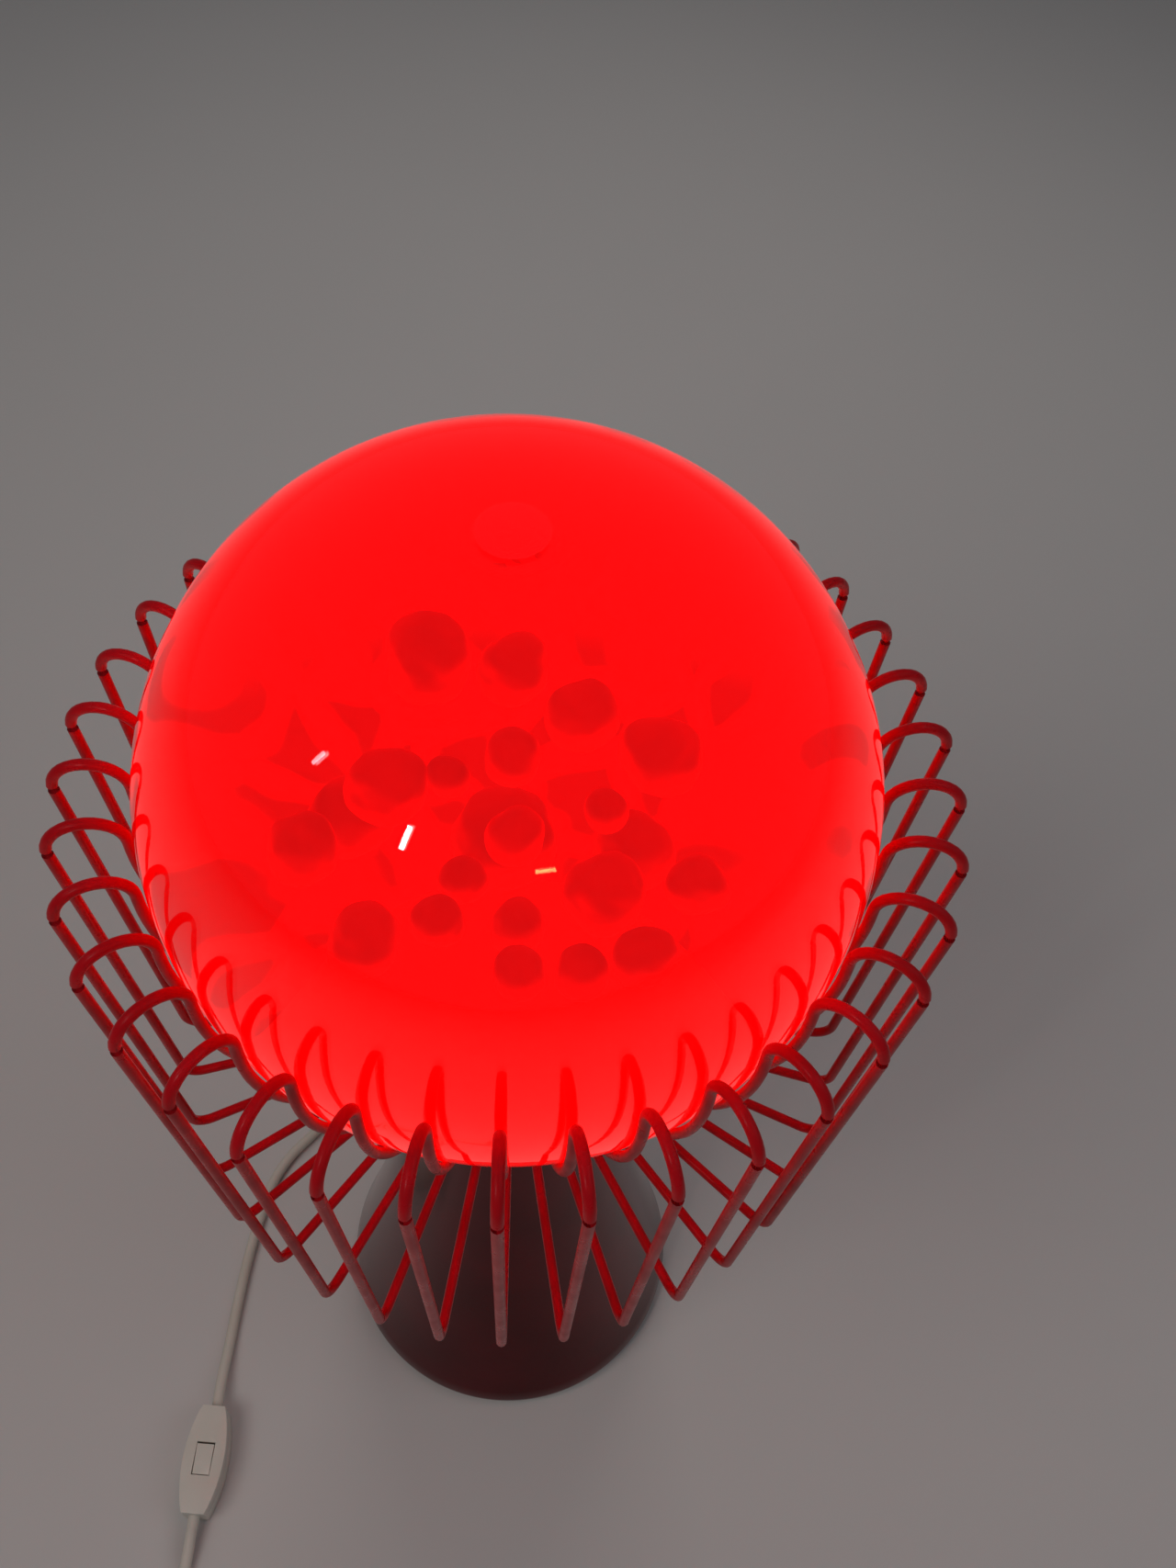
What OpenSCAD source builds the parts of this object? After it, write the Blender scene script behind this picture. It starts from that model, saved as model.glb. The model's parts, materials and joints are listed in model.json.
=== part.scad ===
// Globe lava lamp: a sealed glass globe cradled in a crown of bent wire loops,
// on a tall spun-steel base that holds the reflector bulb, with an in-line
// switch and a plug on its mains cord. Millimetres, +Z up, table at z = 0.

/* [Globe] */
// Outer diameter of the glass globe
globe_d = 250; // [200:1:300]
// Wall thickness of the glass
glass_t = 3; // [2:0.5:5]
// Height of the globe's centre above the table
globe_z = 470; // [430:1:560]
// Outer diameter of the filler neck under the globe
neck_d = 36; // [28:1:44]
// Length of the filler neck below the globe
neck_len = 14; // [12:1:20]
// Width of the wire that the heating coil is wound to
coil_ring_w = 7; // [5:0.5:9]
// Radius of the heating coil's ring
coil_ring_r = 30; // [26:1:36]
// Depth of the wax that lies at the bottom of the globe
pool_depth = 4; // [3:0.5:4]

/* [Wire crown] */
// Number of wire loops round the globe
wire_count = 37; // [24:1:40]
// Diameter of the coated wire
wire_d = 4; // [3:0.5:5]
// Gap between the glass and the wires
cradle_gap = 0.4; // [0.3:0.1:1]
// Width of a loop at its top, between wire centres
loop_w = 25.5; // [20:0.5:30]
// Height of the globe's centre line to the middle of a loop's top bend
loop_lift = 4.5; // [2:0.5:12]
// How far the knee stands out past the globe's side
knee_reach = 13.5; // [6:0.5:20]
// How far the knee lies below the globe's lowest point
knee_below = 45; // [35:1:60]
// How far a spoke drops from the hub to the knee
spoke_drop = 10; // [4:1:16]
// Bend radius at the knee, to the wire's centre line
knee_bend_r = 7; // [5:0.5:10]
// Bend radius where a loop meets the hub
hub_bend_r = 6; // [4:0.5:8]
// How deep the wires are welded into the hub
weld_depth = 0.4; // [0.2:0.1:0.8]

/* [Hub and seat] */
// Outer radius of the hub
hub_r = 50; // [46:1:56]
// Wall thickness of the hub
hub_t = 8; // [5:0.5:10]
// Radius of the opening through the hub's floor
hub_mouth_r = 34; // [33:0.5:36]
// Thickness of the hub's floor
hub_floor_t = 3; // [2:0.5:4]
// Gap between the globe's lowest point and the hub's rim
hub_rim_rise = 2; // [1:0.5:4]
// Number of vent slots in the hub's wall
vent_count = 12; // [6:1:16]
// Height of a vent slot
vent_h = 12; // [8:1:16]
// Width of a vent slot
vent_w = 4; // [3:0.5:5]
// Number of screws that hold the hub to the base
hub_screw_count = 3; // [3:1:4]
// Diameter of the hub screws
hub_screw_d = 3; // [2.5:0.5:3]
// Gap between the glass and the rubber seat
seat_gap = 0.3; // [0.2:0.05:0.5]

/* [Base] */
// Outer radius of the base at its foot
foot_r = 91; // [80:1:110]
// Outer radius of the base's neck under the hub
shell_neck_r = 46; // [44:0.5:49]
// How strongly the base flares towards its foot
flare = 1.7; // [1.2:0.1:2.4]
// Sheet thickness of the base shell
shell_t = 1.2; // [1:0.1:2]
// Height of the shell's lower edge above the table
foot_lift = 2.5; // [2:0.5:4]
// Edge radius of the foot
foot_edge_r = 5; // [3:0.5:7]
// Height of the rubber feet
rubber_h = 7; // [6:0.5:9]
// Diameter of the rubber feet
rubber_d = 14; // [10:1:18]
// Number of rubber feet
rubber_count = 4; // [3:1:6]
// Thickness of the bottom plate
plate_t = 1.5; // [1:0.5:3]
// Height of the cast-iron weight
weight_h = 18; // [12:1:24]
// Outer radius of the cast-iron weight
weight_r = 72; // [64:1:73]
// Inner radius of the cast-iron weight
weight_hole_r = 34; // [30:1:38]
// Width of the slot through the weight for the cord
weight_slot_w = 30; // [26:1:36]

/* [Lamp holder and bulb] */
// Outer diameter of the threaded lamp tube
tube_d = 10; // [9:0.5:12]
// Bore of the threaded lamp tube
tube_bore = 7.5; // [6:0.5:8]
// Gap between the bulb's crown and the filler cap
bulb_gap = 7; // [5:1:14]
// Length of the reflector bulb with its cap
bulb_len = 102; // [98:1:106]
// Largest radius of the reflector bulb
bulb_r = 31.5; // [28:0.5:32]
// Radius of the bulb's screw cap
screw_cap_r = 13.2; // [12:0.1:13.5]
// Length of the bulb's screw cap
screw_cap_len = 24; // [22:1:26]
// Running clearance between the bulb's cap and the holder's sleeve
cap_fit = 0.06; // [0.03:0.01:0.1]
// Outer radius of the lamp holder
holder_r = 20; // [18:0.5:22]
// Radius of the holder's clamping ring
holder_ring_r = 24; // [23:0.5:27]

/* [Cord and switch] */
// Diameter of the mains cord
cord_d = 6; // [5:0.1:7]
// Height of the cord's exit above the table
exit_z = 14; // [12:1:18]
// Length of the tapered strain relief outside the base
relief_len = 26; // [20:1:40]
// Length of the in-line switch
switch_len = 54; // [50:1:62]
// Width of the in-line switch at its middle
switch_w = 22; // [20:0.5:28]
// Width of the in-line switch at its ends
switch_end_w = 12; // [10:0.5:14]
// Height of the in-line switch
switch_h = 18; // [16:0.5:22]
// Length of the rocker
rocker_len = 15; // [12:0.5:18]
// Width of the rocker
rocker_w = 9; // [7:0.5:10]
// Diameter of the rocker's pivot pin
rocker_pin_d = 2; // [1.5:0.1:2.4]
// Running clearance round the pivot pin
rocker_fit = 0.05; // [0.03:0.01:0.1]
// Tilt of the rocker at rest
rocker_tilt = 8; // [4:1:9]
// Radius of the stored coil, to the middle of its turns
coil_mid_r = 36; // [34:1:38]
// Number of cord widths across the stored coil
coil_columns = 3; // [2:1:3]
// Number of cord layers in the stored coil
coil_layers = 2; // [1:1:3]

/* [Hidden] */
$fn = 48;

// Joints inside a bent bar: how far a bar runs on, and how proud its ball stands
bar_overlap = 0.1;
ball_rise = 0.02;
fine_fn = 200;

globe_r = globe_d / 2;
globe_bottom = globe_z - globe_r;
bore_r = globe_r - glass_t;

// Filler neck and its cap
neck_r = neck_d / 2;
neck_end_z = globe_bottom - neck_len;
neck_wall = 3.5;
cap_t = 2;
neck_root = 4;
seal_t = 1;
seal_inset = 0.4;
cap_gap = 0.2;
cap_h = neck_len - 1;
cap_bottom_z = neck_end_z - seal_t - cap_t;

// Heating coil: a ring that rests on the inside of the glass
wall_gap = 0.3;
pool_rim = 10;
coil_sit_r = bore_r - coil_ring_w / 2 - wall_gap;
coil_ring_z = globe_z - sqrt(coil_sit_r * coil_sit_r - coil_ring_r * coil_ring_r);

// Wax drops as [x, y, height from the globe's centre, radius]
drops_left = [
  [-22, 26, 20, 10], [-31, 0, 0, 9], [-16, 2, 2, 5], [-12, -8, -28, 5.5],
  [-36, -28, -26, 8], [-52, -12, -10, 8], [-18, -26, -22, 6], [-40, 22, -44, 9]
];
drops_middle = [
  [0, 26, 16, 8], [0, 6, 6, 6.5], [1, -6, -12, 6.5], [2, -18, -34, 6],
  [3, -36, -28, 6], [-2, 18, -46, 11]
];
drops_right = [
  [17, 16, 10, 8], [37, 8, 4, 9], [24, -4, -2, 5], [24, -20, -16, 9],
  [47, -16, -16, 7], [18, -36, -28, 6], [34, -32, -26, 7], [30, 18, -50, 9]
];

// Crown: every loop lies in a plane through the axis; x is the radius
wire_r = wire_d / 2;
inner_r = globe_r + cradle_gap + wire_r;
arch_r = loop_w / 2;
rim_r = inner_r + loop_w;
arch_z = globe_z + loop_lift;
knee_r = globe_r + knee_reach;
knee_z = globe_bottom - knee_below;
root_r = hub_r + wire_r - weld_depth;
root_z = knee_z + spoke_drop;
knee = [knee_r, knee_z];
root = [root_r, root_z];
arch_c = [rim_r - arch_r, arch_z];
to_arch = arch_c - knee;
arch_dist = norm(to_arch);
leg_angle = atan2(to_arch[1], to_arch[0]) - asin(arch_r / arch_dist);
leg_end = knee + sqrt(arch_dist * arch_dist - arch_r * arch_r) * [cos(leg_angle), sin(leg_angle)];
// The inner leg leaves the globe just outside the hub and bends down to it
leave_gap = 5.5;
leave_r = root_r + leave_gap;
leave_angle = acos(leave_r / inner_r);
leave_pt = [leave_r, globe_z - inner_r * sin(leave_angle)];
leave_dir = [-sin(leave_angle), -cos(leave_angle)];
shoulder = leave_pt + leave_dir * (leave_gap / sin(leave_angle));

// Hub
hub_top_z = globe_bottom + hub_rim_rise;
hub_bore_r = hub_r - hub_t;
hub_skirt = 8;
shell_top_z = root_z - wire_r - hub_skirt;
hub_screw_pcr = (hub_mouth_r + hub_bore_r) / 2;
hub_nut_h = 2.4;
hub_nut_af = 5.5;
hub_head_h = 2;
screw_gap = 0.4;
screw_head_ratio = 1.9;
screw_past_nut = 1;
seat_outer_r = hub_r - 1.5;
seat_inner_r = hub_bore_r - 1;
seat_h = 9;
vent_z = root_z + 8;

// Base shell
flare_z = foot_lift + foot_edge_r + 2;
flare_h = shell_top_z - flare_z;
plate_r = foot_r - shell_t - 2.5;
plate_z = rubber_h;
deck_z = plate_z + plate_t;
rubber_pcr = 70;
plate_screw_pcr = 80;
plate_screw_count = 3;
plate_screw_d = 3;
plate_head_h = 2;
plate_slot_count = 12;
plate_slot_r = 24;
plate_slot_l = 8;
plate_slot_w = 4;
plate_notch_w = 24;
bracket_w = 12;
bracket_in_r = 74;
bracket_out_r = foot_r - 2.8;
bracket_h = 8;

// Lamp holder and bulb, stacked down from the filler cap
bulb_top_z = cap_bottom_z - bulb_gap;
bulb_base_z = bulb_top_z - bulb_len;
screw_cap_z = bulb_base_z + 2;
screw_cap_top_z = screw_cap_z + screw_cap_len;
sleeve_r = screw_cap_r + cap_fit;
sleeve_t = 0.5;
holder_floor_z = bulb_base_z - 8;
holder_base_z = holder_floor_z - 26;
holder_top_z = screw_cap_top_z - 1;
holder_cap_h = 22;
holder_cap_floor = 5;
holder_wall = 6;
ring_h = 7;
holder_bore_r = sleeve_r + sleeve_t + 1.5;
tube_low_z = 2;
tube_top_z = holder_base_z + 11;
nut_af = 15;
nut_h = 3.2;
washer_t = 1;
washer_r = 11;

// Inside wiring
block_w = 20;
block_d = 16;
block_h = 12;
block_y = 46;
lead_r = 1.1;
lead_x = 4;
lead_y = tube_d / 2 + 7;
lead_z = deck_z + 6;
lead_bend_r = 6;

// Cord
cord_r = cord_d / 2;
gland_y = foot_r - 16;
gland_r = 7;
gland_fit = 0.05;
gland_nut_t = 3;
gland_nut_y = foot_r - 10;
gland_flange_t = 2;
relief_wall = 0.8;
relief_start_y = foot_r + 1;
relief_end_y = relief_start_y + relief_len;
relief_end_r = cord_r + relief_wall;
cord_sides = 10;

// Switch: lies on the table, its length nearly along Y
switch_at = [-162, -124];
switch_turn = -4;
switch_mid_z = 9;
half_split_z = switch_mid_z;
pin_z = 15.5;
shell_wall = 1.6;
switch_screw_y = 17;
switch_screw_d = 2.5;
switch_screw_gap = 0.1;
switch_box_l = 26;
rocker_side_gap = 0.4;
rocker_end_gap = 0.8;
rocker_pin_out = 3;
rocker_top = 2.5;
rocker_under = 1.5;
rocker_stem_w = 4;
rocker_stem_z = 4.5;
contact_t = 0.8;
contact_l = 8;

// Routes of the cord, in the order it leaves the base
route_to_switch = [
  [0, 118, 14], [0, 130, 12], [-4, 143, 7], [-13, 154, 4], [-27, 160, 3],
  [-42, 159, 3], [-56, 151, 3], [-70, 136, 3], [-87, 114, 3], [-105, 90, 3],
  [-124, 67, 3], [-138, 50, 3], [-147, 31, 3], [-151, 12, 3], [-154, -6, 3],
  [-157, -34, 3], [-159, -62, 3], [-160, -80, 6], [-160, -98, 9]
];
route_to_coil = [
  [-164, -150, 9], [-165, -160, 7], [-166, -172, 4], [-168, -187, 3],
  [-170, -205, 3], [-170, -226, 3], [-168, -238, 3], [-162, -249, 3],
  [-153, -258, 3], [-144, -263, 3]
];
route_to_plug = [
  [-134, -267, 9], [-122, -268, 9], [-108, -268, 9], [-96, -268, 8], [-84, -268, 7]
];
coil_at = [-122, -226];
coil_half_w = coil_columns * cord_r;
coil_h = coil_layers * cord_d;
coil_out_r = coil_mid_r + coil_half_w;
coil_in_r = coil_mid_r - coil_half_w;
tie_t = 1.2;
tie_w = 8;
plug_at = [-84, -268];
plug_z = 7;
plug_len = 36;
plug_w = 26;
plug_h = 14;
plug_pin_d = 4;
plug_pin_len = 19;
plug_pin_gap = 18.6;
plug_relief_len = 22;
plug_relief_r = 5.5;
plug_sleeve_t = 0.6;

red_glass = [0.85, 0.02, 0.04, 0.5];
red_wax = [0.6, 0.02, 0.02];
red_coat = [0.55, 0.03, 0.03];
lacquer = [0.22, 0.01, 0.02];
ivory = [0.86, 0.82, 0.74];
steel = [0.7, 0.7, 0.72];
brass = [0.8, 0.62, 0.25];

// ---- helpers ----

// A round bar between two points of the XY plane, with a ball at each end that
// joins it to the next bend
module bar(a, b, r) {
  d = b - a;
  translate([a[0], a[1], 0]) rotate([0, 0, atan2(d[1], d[0])]) rotate([0, 90, 0]) {
    translate([0, 0, -bar_overlap]) cylinder(r = r, h = norm(d) + 2 * bar_overlap);
    sphere(r = r + ball_rise);
    translate([0, 0, norm(d)]) sphere(r = r + ball_rise);
  }
}

// Distance from a corner to where its bend starts
function bend_reach(d1, d2, rb) = rb * tan(acos(d1 * d2) / 2);

// A bend to the left at corner p of the XY plane, from heading d1 to heading d2
module bend(p, d1, d2, rb, r) {
  turn = acos(d1 * d2);
  centre = p - bend_reach(d1, d2, rb) * d1 + rb * [-d1[1], d1[0]];
  start = atan2(-d1[0], d1[1]);
  translate([centre[0], centre[1], 0]) rotate([0, 0, start])
    rotate_extrude(angle = turn) translate([rb, 0]) circle(r = r);
}

// A bent bar's arc round a centre of the XY plane
module arc(c, rad, from, to, r) {
  translate([c[0], c[1], 0]) rotate([0, 0, from])
    rotate_extrude(angle = to - from) translate([rad, 0]) circle(r = r);
}

function unit(v) = v / norm(v);

// Copies round the axis
module ring_of(n, first = 0) {
  for (i = [0:n - 1]) rotate([0, 0, first + i * 360 / n]) children();
}

module tube(r_out, r_in, h) {
  difference() {
    cylinder(r = r_out, h = h);
    translate([0, 0, -1]) cylinder(r = r_in, h = h + 2);
  }
}

module hex(af, h) {
  cylinder(r = af / sqrt(3), h = h, $fn = 6);
}

// Frame of a swept tube: headings, then rings of points round the route
function heading(route, i) =
  let (n = len(route) - 1)
  unit(route[min(i + 1, n)] - route[max(i - 1, 0)]);
function ring_points(route, i, r, sides) =
  let (t = heading(route, i), side = unit(cross([0, 0, 1], t)), up = cross(t, side))
  [for (k = [0:sides - 1]) let (a = (k + 0.5) * 360 / sides)
    route[i] + r * (cos(a) * side + sin(a) * up)];
// Catmull-Rom points between the route's own points
function between(p, i, s) =
  let (n = len(p) - 1, a = p[max(i - 1, 0)], b = p[i], c = p[min(i + 1, n)], d = p[min(i + 2, n)])
  0.5 * (2 * b + s * (c - a) + s * s * (2 * a - 5 * b + 4 * c - d)
    + s * s * s * (3 * b - a - 3 * c + d));
function smooth_route(p, steps) = concat(
  [for (i = [0:len(p) - 2]) for (k = [0:steps - 1]) between(p, i, k / steps)],
  [p[len(p) - 1]]);

module swept_tube(route, r, sides = 10) {
  rings = len(route);
  points = [for (i = [0:rings - 1]) each ring_points(route, i, r, sides)];
  walls = [for (i = [0:rings - 2]) for (k = [0:sides - 1])
    let (a = i * sides + k, b = i * sides + (k + 1) % sides)
    each [[a, b, b + sides], [a, b + sides, a + sides]]];
  first_end = [[for (k = [0:sides - 1]) sides - 1 - k]];
  last_end = [[for (k = [0:sides - 1]) (rings - 1) * sides + k]];
  polyhedron(points = points, faces = concat(first_end, walls, last_end), convexity = 4);
}

// ---- globe ----

module globe_glass() {
  color(red_glass) difference() {
    union() {
      translate([0, 0, globe_z]) sphere(r = globe_r);
      translate([0, 0, neck_end_z]) cylinder(r = neck_r, h = neck_len + neck_root);
    }
    translate([0, 0, globe_z]) sphere(r = bore_r);
    translate([0, 0, neck_end_z - 1]) cylinder(r = neck_r - neck_wall, h = neck_len + 2 * neck_root);
  }
}

module filler_cap() {
  color("silver") translate([0, 0, cap_bottom_z]) difference() {
    cylinder(r = neck_r + cap_gap + cap_t, h = cap_h);
    translate([0, 0, cap_t]) cylinder(r = neck_r + cap_gap, h = cap_h);
  }
}

module cap_seal() {
  color("dimgray") translate([0, 0, neck_end_z - seal_t])
    cylinder(r = neck_r - seal_inset, h = seal_t);
}

module heating_coil() {
  color("silver") translate([0, 0, coil_ring_z])
    rotate_extrude() translate([coil_ring_r, 0]) circle(d = coil_ring_w);
}

module wax_pool() {
  color(red_wax) intersection() {
    translate([0, 0, globe_z]) sphere(r = bore_r - wall_gap, $fn = fine_fn);
    translate([0, 0, globe_z - bore_r]) cylinder(r = coil_ring_r + pool_rim, h = pool_depth);
  }
}

module drops(list) {
  color(red_wax) for (d = list)
    translate([d[0], d[1], globe_z + d[2]]) sphere(r = d[3]);
}
module wax_left() { drops(drops_left); }
module wax_middle() { drops(drops_middle); }
module wax_right() { drops(drops_right); }

// ---- crown ----

module wire_loop() {
  down = [0, -1];
  out = unit(knee - root);
  up = [cos(leg_angle), sin(leg_angle)];
  rotate([90, 0, 0]) {
    bend(shoulder, leave_dir, down, hub_bend_r, wire_r);
    bar(shoulder + bend_reach(leave_dir, down, hub_bend_r) * down,
      root - bend_reach(down, out, hub_bend_r) * down, wire_r);
    bend(root, down, out, hub_bend_r, wire_r);
    bar(root + bend_reach(down, out, hub_bend_r) * out,
      knee - bend_reach(out, up, knee_bend_r) * out, wire_r);
    bend(knee, out, up, knee_bend_r, wire_r);
    bar(knee + bend_reach(out, up, knee_bend_r) * up, leg_end, wire_r);
    arc(arch_c, arch_r, leg_angle - 90, 180, wire_r);
    bar([inner_r, arch_z], [inner_r, globe_z], wire_r);
    arc([0, globe_z], inner_r, -leave_angle, 0, wire_r);
    bar(leave_pt, shoulder - bend_reach(leave_dir, down, hub_bend_r) * leave_dir, wire_r);
  }
}

module crown_wires() {
  color(red_coat) ring_of(wire_count, -90) wire_loop();
}

module crown_hub() {
  color(red_coat) difference() {
    translate([0, 0, shell_top_z]) cylinder(r = hub_r, h = hub_top_z - shell_top_z);
    translate([0, 0, shell_top_z + hub_floor_t])
      cylinder(r = hub_bore_r, h = hub_top_z - shell_top_z);
    translate([0, 0, shell_top_z - 1]) cylinder(r = hub_mouth_r, h = hub_floor_t + 2);
    ring_of(hub_screw_count, -90) translate([hub_screw_pcr, 0, shell_top_z - 1])
      cylinder(d = hub_screw_d + screw_gap, h = hub_floor_t + 2);
    ring_of(vent_count) translate([hub_bore_r - 1, -vent_w / 2, vent_z])
      cube([hub_t + 2, vent_w, vent_h]);
  }
}

module globe_seat() {
  color("dimgray") difference() {
    translate([0, 0, hub_top_z]) tube(seat_outer_r, seat_inner_r, seat_h);
    translate([0, 0, globe_z]) sphere(r = globe_r + seat_gap, $fn = fine_fn);
  }
}

module hub_screws() {
  color(steel) ring_of(hub_screw_count, -90) translate([hub_screw_pcr, 0, 0]) {
    translate([0, 0, shell_top_z - shell_t - hub_nut_h - screw_past_nut])
      cylinder(d = hub_screw_d, h = screw_past_nut + hub_nut_h + shell_t + hub_floor_t + hub_head_h / 2);
    translate([0, 0, shell_top_z + hub_floor_t])
      cylinder(d = hub_screw_d * screw_head_ratio, h = hub_head_h);
  }
}

module hub_nuts() {
  color(steel) ring_of(hub_screw_count, -90)
    translate([hub_screw_pcr, 0, shell_top_z - shell_t - hub_nut_h]) difference() {
      hex(hub_nut_af, hub_nut_h);
      translate([0, 0, -1]) cylinder(d = hub_screw_d, h = hub_nut_h + 2);
    }
}

// ---- base ----

// Radius of the shell's outside at height z
function shell_r(z) = shell_neck_r
  + (foot_r - shell_neck_r) * pow(max(0, (shell_top_z - z) / flare_h), flare);
shell_steps = 26;
shell_outer = [for (i = [0:shell_steps]) let (z = flare_z + flare_h * i / shell_steps)
  [shell_r(z), z]];
shell_inner = [for (p = shell_outer) [p[0] - shell_t, min(p[1], shell_top_z - shell_t)]];
foot_arc = [for (a = [-90:15:0])
  [foot_r - foot_edge_r + foot_edge_r * cos(a), foot_lift + foot_edge_r + foot_edge_r * sin(a)]];
foot_arc_inner = [for (a = [0:-15:-90])
  [foot_r - foot_edge_r + (foot_edge_r - shell_t) * cos(a),
    foot_lift + foot_edge_r + (foot_edge_r - shell_t) * sin(a)]];
function reversed(v) = [for (i = [len(v) - 1:-1:0]) v[i]];

module base_shell() {
  color(lacquer) difference() {
    rotate_extrude($fn = 96) polygon(concat(
      foot_arc, shell_outer,
      [[hub_mouth_r, shell_top_z], [hub_mouth_r, shell_top_z - shell_t]],
      reversed(shell_inner), foot_arc_inner));
    ring_of(hub_screw_count, -90) translate([hub_screw_pcr, 0, shell_top_z - 3])
      cylinder(d = hub_screw_d + screw_gap, h = 6);
    translate([0, gland_y, exit_z]) rotate([-90, 0, 0])
      cylinder(r = gland_r + gland_fit, h = foot_r);
  }
}

module bottom_plate() {
  color(steel) difference() {
    translate([0, 0, plate_z]) cylinder(r = plate_r, h = plate_t);
    translate([0, 0, plate_z - 1]) cylinder(d = tube_d + screw_gap, h = plate_t + 2);
    ring_of(plate_screw_count, 30) translate([plate_screw_pcr, 0, plate_z - 1])
      cylinder(d = plate_screw_d + screw_gap, h = plate_t + 2);
    ring_of(plate_slot_count, 15) translate([plate_slot_r, -plate_slot_w / 2, plate_z - 1])
      cube([plate_slot_l, plate_slot_w, plate_t + 2]);
    translate([-plate_notch_w / 2, gland_y - 1, plate_z - 1])
      cube([plate_notch_w, plate_r, plate_t + 2]);
  }
}

module plate_brackets() {
  color(steel) ring_of(plate_screw_count, 30) difference() {
    translate([bracket_in_r, -bracket_w / 2, deck_z])
      cube([bracket_out_r - bracket_in_r, bracket_w, bracket_h]);
    translate([plate_screw_pcr, 0, deck_z - 1]) cylinder(d = plate_screw_d, h = bracket_h + 2);
  }
}

module plate_screws() {
  color(steel) ring_of(plate_screw_count, 30)
    translate([plate_screw_pcr, 0, plate_z - plate_head_h]) {
      cylinder(d = plate_screw_d * 2, h = plate_head_h);
      translate([0, 0, 1]) cylinder(d = plate_screw_d, h = plate_t + bracket_h / 2 + 1);
    }
}

module rubber_feet() {
  color("dimgray") ring_of(rubber_count, 45) translate([rubber_pcr, 0, 0])
    cylinder(d = rubber_d, h = rubber_h);
}

module base_weight() {
  color("slategray") difference() {
    translate([0, 0, deck_z]) tube(weight_r, weight_hole_r, weight_h);
    translate([-weight_slot_w / 2, 0, deck_z - 1]) cube([weight_slot_w, weight_r + 5, weight_h + 2]);
  }
}

module lamp_tube() {
  color(steel) translate([0, 0, tube_low_z]) tube(tube_d / 2, tube_bore / 2, tube_top_z - tube_low_z);
}

module tube_nuts() {
  color(steel) for (z = [plate_z - nut_h, deck_z + washer_t, holder_base_z - washer_t - nut_h])
    translate([0, 0, z]) difference() {
      hex(nut_af, nut_h);
      translate([0, 0, -1]) cylinder(d = tube_d, h = nut_h + 2);
    }
}

module tube_washers() {
  color(steel) for (z = [deck_z, holder_base_z - washer_t]) translate([0, 0, z])
    tube(washer_r, tube_d / 2 + 0.2, washer_t);
}

// ---- lamp holder ----

module holder_cap() {
  color(ivory) difference() {
    rotate_extrude() polygon([
      [tube_d / 2, holder_base_z], [holder_r - 6, holder_base_z],
      [holder_r - 1, holder_base_z + 10], [holder_r, holder_base_z + holder_cap_h],
      [holder_r - holder_wall, holder_base_z + holder_cap_h],
      [holder_r - holder_wall, holder_base_z + 12], [11, holder_base_z + holder_cap_floor],
      [tube_d / 2, holder_base_z + holder_cap_floor]]);
    for (x = [-lead_x, lead_x]) translate([x, lead_y, holder_base_z - 1])
      cylinder(r = lead_r + 0.3, h = 14);
  }
}

module holder_body() {
  color(ivory) translate([0, 0, holder_base_z + holder_cap_h])
    tube(holder_r, holder_bore_r, holder_top_z - holder_base_z - holder_cap_h);
}

module holder_ring() {
  color(ivory) translate([0, 0, holder_base_z + 32]) tube(holder_ring_r, holder_r + 0.1, ring_h);
}

module holder_insert() {
  color("white") translate([0, 0, holder_base_z + holder_cap_h])
    cylinder(r = holder_bore_r, h = holder_floor_z + 4 - holder_base_z - holder_cap_h);
}

module holder_sleeve() {
  color(brass) translate([0, 0, holder_floor_z + 4])
    tube(sleeve_r + sleeve_t, sleeve_r, holder_top_z - holder_floor_z - 5);
}

module holder_contact() {
  color(brass) translate([-4, -2.5, holder_floor_z + 4]) {
    cube([8, 5, 0.6]);
    cube([0.8, 5, 3]);
    translate([0, 0, 2.4]) cube([7, 5, 0.6]);
  }
}

// ---- bulb ----

bulb_neck_r = screw_cap_r - 0.8;
bulb_outer = [
  [bulb_neck_r, screw_cap_top_z], [bulb_neck_r + 0.8, screw_cap_top_z + 5],
  [bulb_neck_r + 4, screw_cap_top_z + 16], [bulb_r - 5, bulb_top_z - 27],
  [bulb_r - 0.8, bulb_top_z - 18], [bulb_r, bulb_top_z - 14], [bulb_r - 0.6, bulb_top_z - 10],
  [bulb_r - 3, bulb_top_z - 6], [bulb_r - 10, bulb_top_z - 2], [bulb_r - 20, bulb_top_z - 0.4]
];
bulb_wall = 1;

module bulb_glass() {
  color([0.95, 0.95, 0.95, 0.5]) rotate_extrude() difference() {
    polygon(concat(bulb_outer, [[0, bulb_top_z], [0, screw_cap_top_z]]));
    polygon(concat([for (p = bulb_outer) [p[0] - bulb_wall, min(p[1], bulb_top_z - bulb_wall - 0.3)]],
      [[0, bulb_top_z - bulb_wall], [0, screw_cap_top_z - 1],
        [bulb_neck_r - bulb_wall, screw_cap_top_z - 1]]));
  }
}

module bulb_cap() {
  color(steel) translate([0, 0, screw_cap_z]) difference() {
    cylinder(r = screw_cap_r, h = screw_cap_len);
    translate([0, 0, 1]) cylinder(r = screw_cap_r - 1, h = screw_cap_len);
  }
}

module bulb_contact() {
  color("black") rotate_extrude() polygon([
    [0, bulb_base_z], [4, bulb_base_z], [4.5, bulb_base_z + 0.8],
    [9, screw_cap_z], [0, screw_cap_z]]);
}

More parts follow.
